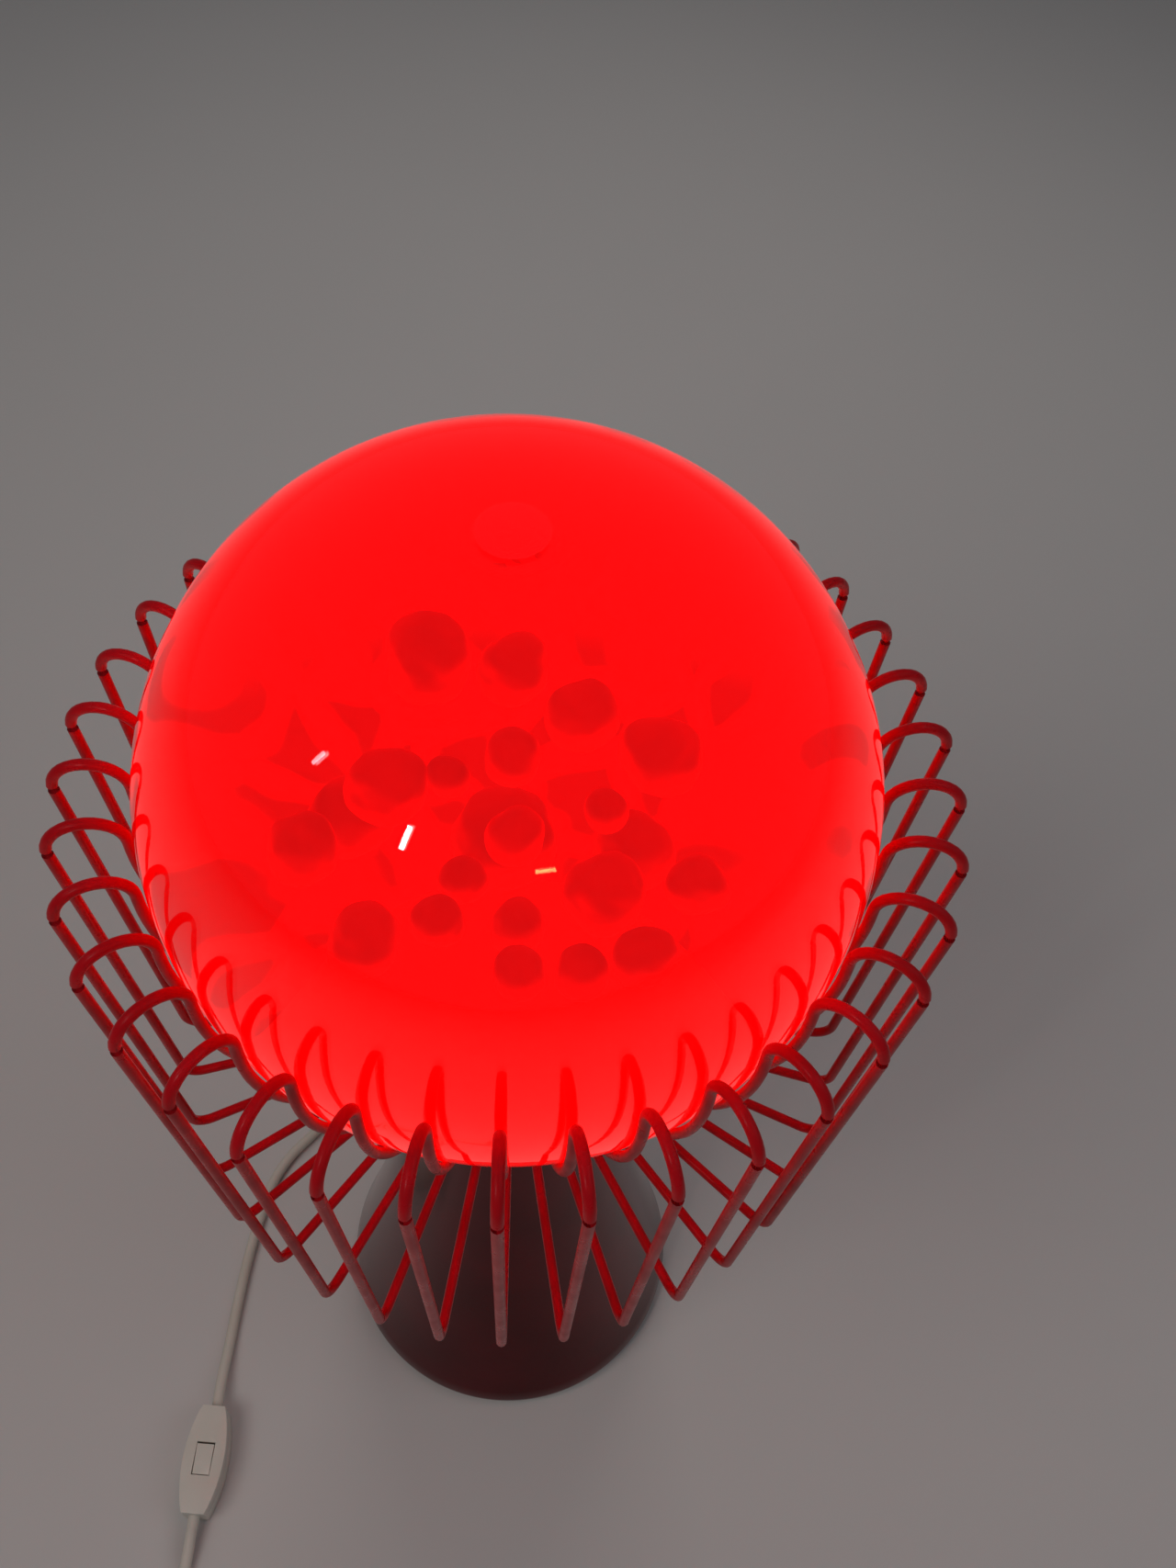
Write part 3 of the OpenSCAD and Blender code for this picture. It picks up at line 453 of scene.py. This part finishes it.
# the liquid's painted glow, with painted shade in streaks of drifting wax film
addPaintedGlow(paint["liquid"], streakShadeMask(paint["liquid"], paintedGlow["streakScale"], *paintedGlow["liquidStreaks"],
                                  paintedGlow["liquidStretch"]), *paintedGlow["liquidTones"], paintedGlow["liquid"])
# the lining's painted glow, with painted shade in the wax cells low in the bowl
addPaintedGlow(paint["film"], cellMask(paint["film"], paintedGlow["cellScale"], *paintedGlow["cellHeights"]),
        *paintedGlow["filmTones"], paintedGlow["film"])
addCover(paint["film"], *paintedGlow["coverHeights"], paintedGlow["thinnestCover"])
# the drops' painted glow from the lamp below, with painted shade on their tops
addPaintedGlow(paint["wax"], topMask(paint["wax"], *paintedGlow["waxTurn"]), *paintedGlow["waxTones"], paintedGlow["wax"])
# the wax pool's painted glow from the lamp below, dimmer in streaks
addPaintedGlow(paint["pool"], streakShadeMask(paint["pool"], paintedGlow["streakScale"], *paintedGlow["poolStreaks"],
                                paintedGlow["poolStretch"]), *paintedGlow["poolTones"], paintedGlow["pool"])
print("stage: materials made,", len(paint))


# cords: the route's points repeat those of the frame

cord = {
    "diameter": 0.006,
    "switchLength": 0.370, "storedLength": 1.329,
    "toSwitch": [
        (0, 0.118, 0.014), (0, 0.130, 0.012), (-0.004, 0.143, 0.007), (-0.013, 0.154, 0.004),
        (-0.027, 0.160, 0.003), (-0.042, 0.159, 0.003), (-0.056, 0.151, 0.003),
        (-0.070, 0.136, 0.003), (-0.087, 0.114, 0.003), (-0.105, 0.090, 0.003),
        (-0.124, 0.067, 0.003), (-0.138, 0.050, 0.003), (-0.147, 0.031, 0.003),
        (-0.151, 0.012, 0.003), (-0.154, -0.006, 0.003), (-0.157, -0.034, 0.003),
        (-0.159, -0.062, 0.003), (-0.160, -0.080, 0.006), (-0.160, -0.098, 0.009)],
    "toCoil": [
        (-0.164, -0.150, 0.009), (-0.165, -0.160, 0.007), (-0.166, -0.172, 0.004),
        (-0.168, -0.187, 0.003), (-0.170, -0.205, 0.003)],
    "toPlug": [(-0.108, -0.268, 0.009), (-0.096, -0.268, 0.008), (-0.084, -0.268, 0.007)],
    "coilAt": (-0.122, -0.226),
    "columns": (0.0480, 0.0420, 0.0360, 0.0300),  # radius of each turn, outermost first
    "layers": (0.003, 0.009),
    "rise": 0.0003,
}


def easeTo(a, b, share):
    share = max(0.0, min(1.0, share))
    return a + (b - a) * share * share * (3 - 2 * share)


def coilPoints():  # winds in on the table, climbs one layer, and winds out on top of itself
    shifts = [(0, 130, "radius", 0, 1), (360, 490, "radius", 1, 2), (720, 850, "radius", 2, 3),
              (980, 1065, "layer", 0, 1), (1220, 1350, "radius", 3, 2), (1580, 1710, "radius", 2, 1)]
    made = []  # each shift runs from one angle to another, and moves to another column or layer
    for angle in range(0, 1891, 10):
        radius, height = cord["columns"][0], cord["layers"][0]
        for start, end, kind, before, after in shifts:
            if angle < start:
                continue
            share = (angle - start) / (end - start)
            if kind == "radius":
                radius = easeTo(cord["columns"][before], cord["columns"][after], share)
            else:
                height = easeTo(cord["layers"][before], cord["layers"][after], share)
        turn = math.radians(180 + angle)
        made.append((cord["coilAt"][0] + radius * math.cos(turn),
                     cord["coilAt"][1] + radius * math.sin(turn), height))
    return made


def routeLength(points):
    return sum((Vector(b) - Vector(a)).length for a, b in zip(points, points[1:]))


def raised(points):  # clear of the table where the curve dips between its points
    return [(x, y, z + cord["rise"]) for x, y, z in points]


storedRoute = raised(cord["toCoil"] + coilPoints() + cord["toPlug"])
cordToSwitch = curvePiece("cordToSwitch", raised(cord["toSwitch"]), cord["diameter"] / 2, 6)
cordStored = curvePiece("cordStored", storedRoute, cord["diameter"] / 2, 3)
for piece, standsFor in ((cordToSwitch, ["cord_to_switch"]),
                         (cordStored, ["cord_to_coil", "cord_coil", "cord_to_plug"])):
    piece.data.materials.append(paint["sheath"])
    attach(piece, "base")
    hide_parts(*standsFor)
print("stage: cords laid,", round(routeLength(cord["toSwitch"]), 3),
      round(routeLength(storedRoute), 3))


# globe: blown glass with its neck, and the liquid inside it

glassLow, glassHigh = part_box("globe_glass")
globe = {
    "radius": (glassHigh.x - glassLow.x) / 2,
    "neckEnd": glassLow.z,
    "neckRadius": 0.018,
    "wall": 0.003,
    "fillet": 0.006,
    "airRadius": 0.011,
    "filmGap": 0.00015,
    "soak": 0.0001,  # how far the liquid reaches into the glass, so that no air shows
    "lip": 0.0008,
    "meniscus": ((0.0015, 0.0007), (0.004, 0.0011)),  # in from the air's edge, and down
    "airDip": 0.0012,
    "sides": 128,
}
globe["centre"] = glassHigh.z - globe["radius"]


def bottleOutline(radius, neck, fillet, bottom, topAngle, steps):
    across = neck + fillet
    drop = math.sqrt((radius + fillet) ** 2 - across ** 2)
    filletCentre = (across, globe["centre"] - drop)
    lean = math.degrees(math.atan2(drop, -across))
    onBall = math.degrees(math.atan2(-drop, across))
    made = [(neck, bottom)]
    made += [(neck, bottom + (filletCentre[1] - bottom) * i / 3) for i in (1, 2)]
    made += arcPoints(filletCentre, fillet, 180, lean, 5)
    made += arcPoints((0, globe["centre"]), radius, onBall, topAngle, steps)[1:]
    return made


glassOutline = bottleOutline(globe["radius"], globe["neckRadius"], globe["fillet"],
                             globe["neckEnd"], 89, 62)
glassOutline.append((0, globe["centre"] + globe["radius"]))
globeGlass = turnedShape("globeGlass", glassOutline, globe["sides"])
useModifier(globeGlass, "SOLIDIFY", thickness=globe["wall"], offset=-1)
roundEdges(globeGlass, globe["lip"], 3)
shadeSmooth(globeGlass, 60)
finishPiece(globeGlass, "globeGlass", "globe", paint["glass"], ["globe_glass"])

innerRadius = globe["radius"] - globe["wall"] + globe["soak"]
innerNeck = globe["neckRadius"] - globe["wall"] + globe["soak"]
topAngle = math.degrees(math.acos(globe["airRadius"] / innerRadius))
level = globe["centre"] + innerRadius * math.sin(math.radians(topAngle))
liquidOutline = bottleOutline(innerRadius, innerNeck, globe["fillet"] + globe["wall"],
                              globe["neckEnd"] + 0.0005, topAngle, 56)
liquidOutline += [(globe["airRadius"] - inset, level - drop) for inset, drop in globe["meniscus"]]
liquidOutline += [(globe["airRadius"] * share, level - globe["airDip"]) for share in (0.5, 0)]
lavaLiquid = turnedShape("lavaLiquid", liquidOutline, globe["sides"], capStart=True)
shadeSmooth(lavaLiquid, 50)
finishPiece(lavaLiquid, "lavaLiquid", "globe", paint["liquid"])

# a lining just inside the glass that carries the painted glow of the lit liquid and wax cells
filmRadius = globe["radius"] - globe["wall"] - globe["filmGap"]
filmStart = -math.degrees(math.acos(globe["neckRadius"] / filmRadius))
filmOutline = arcPoints((0, globe["centre"]), filmRadius, filmStart, 89, 60)
filmOutline.append((0, globe["centre"] + filmRadius))
paintedGlowWaxLining = turnedShape("paintedGlowWaxLining", filmOutline, globe["sides"], capStart=True)
shadeSmooth(paintedGlowWaxLining, 60)
finishPiece(paintedGlowWaxLining, "paintedGlowWaxLining", "globe", paint["film"])
print("stage: globe blown and filled")


# wax: lumpy drops with a painted glow from the lamp below and painted shade on their tops, and the
# mound on the globe's floor

wax = {
    "share": 1.16, "lumps": 0.50, "lumpSize": 0.012,
    "poolRadius": 0.052, "poolRise": 0.004,
    "mound": ((0.985, 0.35), (0.93, 0.70), (0.80, 0.95), (0.55, 1.0), (0.25, 0.9), (0, 0.85)),
}
lumpTexture = bpy.data.textures.new("waxLumps", "CLOUDS")
lumpTexture.noise_scale = wax["lumpSize"]


def looseParts(node):  # centre and radius of each ball in a node
    clearSelection()
    copy = nodes[node].copy()
    copy.data = nodes[node].data.copy()
    copy.parent = None
    scene.collection.objects.link(copy)
    pickUp(copy)
    bpy.ops.object.mode_set(mode="EDIT")
    bpy.ops.mesh.select_all(action="SELECT")
    bpy.ops.mesh.remove_doubles(threshold=0.00001)
    bpy.ops.mesh.separate(type="LOOSE")
    bpy.ops.object.mode_set(mode="OBJECT")
    found = []
    for part in list(bpy.context.selected_objects):
        places = [part.matrix_world @ v.co for v in part.data.vertices]
        low = Vector([min(p[i] for p in places) for i in range(3)])
        high = Vector([max(p[i] for p in places) for i in range(3)])
        found.append(((low + high) / 2, (high.z - low.z) / 2))
        bpy.data.objects.remove(part)
    return sorted(found, key=lambda ball: tuple(round(x, 4) for x in ball[0]))


def waxBlob(centre, radius):
    clearSelection()
    bpy.ops.mesh.primitive_ico_sphere_add(subdivisions=4, radius=radius, location=centre)
    piece = bpy.context.object
    freezePlace(piece)
    useModifier(piece, "DISPLACE", texture=lumpTexture, texture_coords="GLOBAL",
                strength=radius * wax["lumps"], mid_level=0.5)
    useModifier(piece, "SMOOTH", iterations=3)
    shadeSmooth(piece, 180)
    return piece


for side in ("left", "middle", "right"):
    balls = looseParts("wax_" + side)
    body = "wax_" + side + "_drops"
    drops = joinPieces([waxBlob(c, r * wax["share"]) for c, r in balls], "waxDrops")
    finishPiece(drops, "wax" + side.capitalize(), body, paint["wax"], ["wax_" + side])

ballRadius = filmRadius - globe["filmGap"]
poolEdge = -math.degrees(math.acos(wax["poolRadius"] / ballRadius))
poolTop = globe["centre"] + ballRadius * math.sin(math.radians(poolEdge))
poolOutline = arcPoints((0, globe["centre"]), ballRadius, filmStart, poolEdge, 12)
poolOutline += [(wax["poolRadius"] * share, poolTop + wax["poolRise"] * rise)
                for share, rise in wax["mound"]]
waxPool = turnedShape("waxPool", poolOutline, 96, capStart=True)
shadeSmooth(waxPool, 60)
finishPiece(waxPool, "waxPool", "globe", paint["pool"], ["wax_pool"])
print("stage: wax poured")


# crown: one closed wire loop, copied round the axis

crown = {
    "loops": 37, "wire": 0.002, "gap": 0.0004, "weld": 0.0004,
    "loopWidth": 0.0255, "archLift": 0.0045,
    "kneeReach": 0.0135, "kneeBelow": 0.045, "kneeBend": 0.007,
    "spokeDrop": 0.010, "hubBend": 0.006, "hubRadius": 0.050, "shoulderStep": 0.0055,
    "beads": (0.007, 0.019, 0.031),  # heights of the weld beads above the spoke
    "beadRadius": 0.0018, "beadStretch": (0.55, 1.45, 1.9), "beadOut": 0.0003,
}
ballBottom = globe["centre"] - globe["radius"]
wireInner = globe["radius"] + crown["gap"] + crown["wire"]
archRadius = crown["loopWidth"] / 2
archCentre = (wireInner + archRadius, globe["centre"] + crown["archLift"])
knee = (globe["radius"] + crown["kneeReach"], ballBottom - crown["kneeBelow"])
root = (crown["hubRadius"] + crown["wire"] - crown["weld"], knee[1] + crown["spokeDrop"])


def loopOutline():  # radius and height along one loop, starting where it is welded to the hub
    toArch = Vector(archCentre) - Vector(knee)
    lean = math.atan2(toArch.y, toArch.x) - math.asin(archRadius / toArch.length)
    legLength = math.sqrt(toArch.length ** 2 - archRadius ** 2)
    legEnd = (knee[0] + legLength * math.cos(lean), knee[1] + legLength * math.sin(lean))
    leaveRadius = root[0] + crown["shoulderStep"]
    leaveAngle = math.acos(leaveRadius / wireInner)
    leavePoint = Vector((leaveRadius, globe["centre"] - wireInner * math.sin(leaveAngle)))
    down = Vector((-math.sin(leaveAngle), -math.cos(leaveAngle)))
    shoulder = leavePoint + down * crown["shoulderStep"] / math.sin(leaveAngle)
    welded = (root[0], (root[1] + shoulder.y) / 2)
    made = [welded]
    made += bendPoints(welded, root, knee, crown["hubBend"])
    made += bendPoints(root, knee, legEnd, crown["kneeBend"])
    made += arcPoints(archCentre, archRadius, math.degrees(lean) - 90, 180, 16)
    made += arcPoints((0, globe["centre"]), wireInner, 0, -math.degrees(leaveAngle), 26)
    made += bendPoints(tuple(leavePoint), tuple(shoulder), welded, crown["hubBend"])
    return made


oneLoop = curvePiece("wireLoop", [(r, 0, z) for r, z in loopOutline()], crown["wire"], 1,
                     closed=True, roundness=4)
pickUp(oneLoop)
bpy.ops.object.convert(target="MESH")
oneLoop = bpy.context.object
weldBeads = []
for height in crown["beads"]:
    clearSelection()
    bpy.ops.mesh.primitive_uv_sphere_add(
        segments=10, ring_count=8, radius=crown["beadRadius"],
        location=(crown["hubRadius"] + crown["beadOut"], 0, root[1] + height))
    bead = bpy.context.object
    bead.scale = crown["beadStretch"]
    freezePlace(bead)
    weldBeads.append(bead)
oneLoop = joinPieces([oneLoop] + weldBeads, "wireLoop")
loops = [oneLoop]
for i in range(1, crown["loops"]):
    copy = oneLoop.copy()
    copy.data = oneLoop.data.copy()
    scene.collection.objects.link(copy)
    copy.rotation_euler = (0, 0, math.radians(i * 360 / crown["loops"] - 90))
    loops.append(copy)
oneLoop.rotation_euler = (0, 0, math.radians(-90))
for loop in loops:
    freezePlace(loop)
crownWires = joinPieces(loops, "crownWires")
shadeSmooth(crownWires, 60)
finishPiece(crownWires, "crownWires", "base", paint["wire"], ["crown_wires"])
print("stage: crown bent and welded")


# base: spun shell with a rolled foot

shellLow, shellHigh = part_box("base_shell")
shell = {
    "neckRadius": 0.046, "flare": 1.7, "sheet": 0.0012, "mouth": 0.034,
    "footEdge": 0.005, "footBand": 0.002,  # the band is upright, between the foot's edge and the flare
    "neckEdge": 0.0015, "neckEasing": 0.0004, "steps": 40,
}
footRadius = (shellHigh.x - shellLow.x) / 2
flareStart = shellLow.z + shell["footEdge"] + shell["footBand"]
shellOutline = arcPoints((footRadius - shell["footEdge"], shellLow.z + shell["footEdge"]),
                         shell["footEdge"], -90, 0, 8)
for i in range(shell["steps"] + 1):
    height = flareStart + (shellHigh.z - flareStart) * i / shell["steps"]
    away = ((shellHigh.z - height) / (shellHigh.z - flareStart)) ** shell["flare"]
    shellOutline.append((shell["neckRadius"] + (footRadius - shell["neckRadius"]) * away, height))
shellOutline[-1] = (shell["neckRadius"], shellHigh.z - shell["neckEdge"])
shellOutline += [(shell["neckRadius"] - shell["neckEasing"], shellHigh.z - shell["neckEasing"]),
                 (shell["neckRadius"] - shell["neckEdge"], shellHigh.z),
                 (shell["mouth"], shellHigh.z)]
baseShell = turnedShape("baseShell", shellOutline, 160)
useModifier(baseShell, "SOLIDIFY", thickness=shell["sheet"], offset=-1)
shadeSmooth(baseShell, 50)
finishPiece(baseShell, "baseShell", "base", paint["lacquer"], ["base_shell"])
print("stage: base spun")


# carried-over nodes: merged copies with eased edges

easedNodes = [  # node, finish, edge width
    ("crown_hub", "wire", 0.0006), ("globe_seat", "rubber", 0.0004),
    ("hub_screws", "zinc", 0.0003), ("hub_nuts", "zinc", 0.0002),
    ("bottom_plate", "zinc", 0.0003), ("plate_brackets", "zinc", 0.0003),
    ("plate_screws", "zinc", 0.0003), ("rubber_feet", "rubber", 0.0010),
    ("base_weight", "iron", 0.0012), ("lamp_tube", "zinc", 0.0003),
    ("tube_nuts", "zinc", 0.0003), ("tube_washers", "zinc", 0.0002),
    ("holder_cap", "holder", 0.0006), ("holder_body", "holder", 0.0005),
    ("holder_ring", "holder", 0.0008), ("holder_insert", "holder", 0.0003),
    ("holder_sleeve", "brass", 0.0001), ("holder_contact", "brass", 0.0001),
    ("bulb_glass", "bulb", 0.0), ("bulb_cap", "cap", 0.0002), ("bulb_contact", "black", 0.0002),
    ("bulb_stem", "glass", 0.0004), ("bulb_filament", "filament", 0.0),
    ("terminal_block", "holder", 0.0006), ("terminal_screws", "brass", 0.0003),
    ("inner_cord", "sheath", 0.0), ("lead_live", "brown", 0.0), ("lead_neutral", "blue", 0.0),
    ("gland_nut", "black", 0.0003), ("switch_contacts", "brass", 0.0),
    ("switch_screws", "zinc", 0.0002), ("filler_cap", "cap", 0.0006),
    ("cap_seal", "rubber", 0.0001), ("heating_coil", "zinc", 0.0),
    ("switch_lower", "switch", 0.0008), ("switch_upper", "switch", 0.0010),
    ("switch_rocker", "switch", 0.0008), ("coil_tie", "black", 0.0005),
    ("plug_pins", "brass", 0.0006),
]
bodyOf = {node: body for body, members in frame["record"]["behaviour"]["bodies"].items()
          for node in members}


def easedCopy(node, finishName, width):
    copy = nodes[node].copy()
    copy.data = nodes[node].data.copy()
    copy.parent = None
    for key in list(copy.keys()):
        del copy[key]
    scene.collection.objects.link(copy)
    pickUp(copy)
    bpy.ops.object.mode_set(mode="EDIT")
    bpy.ops.mesh.select_all(action="SELECT")
    bpy.ops.mesh.remove_doubles(threshold=0.000005)
    if width:
        bpy.ops.mesh.dissolve_limited(angle_limit=math.radians(0.5))
    bpy.ops.object.mode_set(mode="OBJECT")
    if width:
        roundEdges(copy, width, 2, 40)
    shadeSmooth(copy, 35)
    parts = node.split("_")
    name = parts[0] + "".join(part.capitalize() for part in parts[1:])
    return finishPiece(copy, name, bodyOf[node], paint[finishName], [node])


for node, finishName, width in easedNodes:
    easedCopy(node, finishName, width)
print("stage: carried-over parts eased,", len(easedNodes))


# strain relief: a ribbed taper that the cord leaves the base through

glandLow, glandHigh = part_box("cord_gland")
relief = {
    "bodyRadius": 0.007, "bodyEdge": 0.0005,
    "flangeRadius": 0.009, "flange": 0.002, "edge": 0.0004,
    "taperStart": 0.006, "taperEnd": 0.0038, "length": 0.026, "ribs": 7, "groove": 0.0007,
}
reliefStart = glandHigh.y - relief["length"]


def ribbedTaper(startRadius, endRadius, start, length, ribs, groove):
    pitch = length / ribs
    oneRib = ((0.02, 0), (0.42, 0), (0.50, 0.5), (0.58, 1), (0.88, 1), (0.95, 0.5))
    made = []  # radius and place along the cord
    for i in range(ribs):
        for share, depth in oneRib:
            along = (i + share) * pitch
            radius = startRadius + (endRadius - startRadius) * along / length
            made.append((radius - groove * depth, start + along))
    return made


flangeStart = reliefStart - relief["flange"]
reliefOutline = [
    (relief["bodyRadius"] - relief["bodyEdge"], glandLow.y),
    (relief["bodyRadius"], glandLow.y + relief["bodyEdge"]),
    (relief["bodyRadius"], flangeStart),
    (relief["flangeRadius"] - relief["edge"], flangeStart),
    (relief["flangeRadius"], flangeStart + relief["edge"]),
    (relief["flangeRadius"], reliefStart - relief["edge"]),
    (relief["flangeRadius"] - relief["edge"], reliefStart)]
reliefOutline += ribbedTaper(relief["taperStart"], relief["taperEnd"], reliefStart,
                             relief["length"], relief["ribs"], relief["groove"])
reliefOutline += [(relief["taperEnd"] - relief["edge"], glandHigh.y), (0, glandHigh.y)]
cordGland = turnedShape("cordGland", reliefOutline, 48, capStart=True)
cordGland.rotation_euler = (math.radians(-90), 0, 0)
cordGland.location = ((glandLow.x + glandHigh.x) / 2, 0, (glandLow.z + glandHigh.z) / 2)
shadeSmooth(cordGland, 50)
finishPiece(cordGland, "cordGland", "base", paint["black"], ["cord_gland"])
print("stage: strain relief moulded")


# plug: a moulded body with finger ridges on a ribbed sleeve

plugLow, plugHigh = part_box("plug_body")
plug = {
    "corner": 0.0045, "edge": 0.0016, "waist": 0.66, "waistHeight": 0.82,  # shares of the wide end
    "ridges": 5, "firstRidge": 0.007, "ridgePitch": 0.0042,
    "ridge": (0.0014, 0.0016, 0.0070), "ridgeEdge": 0.0004,
    "sleeve": 0.022, "sleeveThin": 0.0036, "sleeveThick": 0.0055,
    "sleeveRibs": 6, "sleeveGroove": 0.0006, "sleeveSink": 0.001, "sleeveEdge": 0.0004,
}
plugMiddle = (plugLow + plugHigh) / 2
bodyStart = plugLow.x + plug["sleeve"]
clearSelection()
bpy.ops.mesh.primitive_cube_add(
    size=1, location=((bodyStart + plugHigh.x) / 2, plugMiddle.y, plugMiddle.z))
plugBody = bpy.context.object
plugBody.scale = (plugHigh.x - bodyStart, plugHigh.y - plugLow.y, plugHigh.z - plugLow.z)
freezePlace(plugBody)
for edge in plugBody.data.edges:
    ends = [plugBody.data.vertices[i].co for i in edge.vertices]
    edge.select = abs(ends[0].x - ends[1].x) > 0.01  # the four long edges
for face in plugBody.data.polygons:
    face.select = False
pickUp(plugBody)
bpy.ops.object.mode_set(mode="EDIT")
bpy.ops.mesh.select_mode(type="EDGE")
bpy.ops.mesh.bevel(offset=plug["corner"], segments=5, affect="EDGES")
bpy.ops.mesh.select_all(action="DESELECT")
bpy.ops.object.mode_set(mode="OBJECT")
for vert in plugBody.data.vertices:
    vert.select = vert.co.x < bodyStart + 0.001  # the end that the cord enters
bpy.ops.object.mode_set(mode="EDIT")
bpy.ops.mesh.select_mode(type="VERT")
bpy.ops.transform.resize(value=(1, plug["waist"], plug["waistHeight"]),
                         center_override=(bodyStart, plugMiddle.y, plugMiddle.z))
bpy.ops.object.mode_set(mode="OBJECT")
roundEdges(plugBody, plug["edge"], 3)
plugParts = [plugBody]
for side in (-1, 1):
    for i in range(plug["ridges"]):
        along = bodyStart + plug["firstRidge"] + i * plug["ridgePitch"]
        grown = plug["waist"] + (1 - plug["waist"]) * (along - bodyStart) / (plugHigh.x - bodyStart)
        out = plugMiddle.y + side * (plugHigh.y - plugMiddle.y) * grown
        clearSelection()
        bpy.ops.mesh.primitive_cube_add(size=1, location=(along, out, plugMiddle.z))
        ridge = bpy.context.object
        ridge.scale = plug["ridge"]
        freezePlace(ridge)
        roundEdges(ridge, plug["ridgeEdge"], 2)
        plugParts.append(ridge)
sleeveEnd = plug["sleeve"] + plug["sleeveSink"]
sleeveOutline = [(plug["sleeveThin"] - plug["sleeveEdge"], 0)]
sleeveOutline += ribbedTaper(plug["sleeveThin"], plug["sleeveThick"], plug["sleeveEdge"] / 2,
                             plug["sleeve"], plug["sleeveRibs"], plug["sleeveGroove"])
sleeveOutline += [(plug["sleeveThick"], sleeveEnd), (0, sleeveEnd)]
plugSleeve = turnedShape("plugSleeve", sleeveOutline, 40, capStart=True)
plugSleeve.rotation_euler = (0, math.radians(90), 0)
plugSleeve.location = (plugLow.x, plugMiddle.y, plugMiddle.z)
freezePlace(plugSleeve)
plugBody = joinPieces(plugParts + [plugSleeve], "plugBody")
shadeSmooth(plugBody, 40)
finishPiece(plugBody, "plugBody", "base", paint["sheath"], ["plug_body"])
print("stage: plug moulded")


# floor and light

studio = {"floor": (0.66, 0.63, 0.61), "floorSize": 6, "floorDrop": 0.0005,
          "world": (0.80, 0.86, 0.95), "worldStrength": 0.09}
clearSelection()
bpy.ops.mesh.primitive_plane_add(size=studio["floorSize"], location=(0, 0, -studio["floorDrop"]))
floor = bpy.context.object
floor.name = "studioFloor"
wornFloor = tuple(part * 0.97 for part in studio["floor"])
floor.data.materials.append(finish("floorPaint", studio["floor"], wornFloor,
                                   1.5, 0.55, 0.1, 300, 0.0))
world = bpy.data.worlds.new("studioWorld")
scene.world = world
world.use_nodes = True
world.node_tree.nodes["Background"].inputs["Color"].default_value = (*studio["world"], 1)
world.node_tree.nodes["Background"].inputs["Strength"].default_value = studio["worldStrength"]
scene.view_settings.view_transform = "Standard"

lamps = [  # name, place, aim, width, height, watts, colour, shows in gloss
    ("keyLight", (-0.9, -0.7, 1.7), (0, 0, 0.3), 0.9, 0.9, 6.5, (1.0, 0.97, 0.93), False),
    ("fillLight", (1.1, -0.3, 1.3), (0, 0, 0.3), 1.1, 1.1, 2.5, (0.92, 0.96, 1.0), False),
    ("backLight", (0.1, 1.3, 1.2), (0, 0, 0.3), 0.8, 0.5, 3, (1.0, 0.95, 0.92), False),
    ("stripLight", (-0.35, -0.55, 0.945), (0, 0, 0.45), 0.02, 0.09, 0.30, (1.0, 0.85, 0.85), True),
    ("stripLeft", (-0.61, -0.22, 0.93), (0, 0, 0.45), 0.015, 0.06, 0.06, (1.0, 0.55, 0.62), True),
    ("stripRight", (0.13, -0.64, 0.90), (0, 0, 0.45), 0.07, 0.012, 0.05, (1.0, 0.50, 0.18), True),
]
for name, place, aim, width, height, watts, colour, inGloss in lamps:
    clearSelection()
    bpy.ops.object.light_add(type="AREA", location=place)
    lamp = bpy.context.object
    lamp.name = name
    lamp.rotation_euler = (Vector(aim) - Vector(place)).to_track_quat("-Z", "Y").to_euler()
    lamp.data.shape = "RECTANGLE"
    lamp.data.size, lamp.data.size_y = width, height
    lamp.data.energy = watts
    lamp.data.color = colour
    lamp.visible_glossy = lamp.visible_transmission = inGloss
print("stage: studio lit")
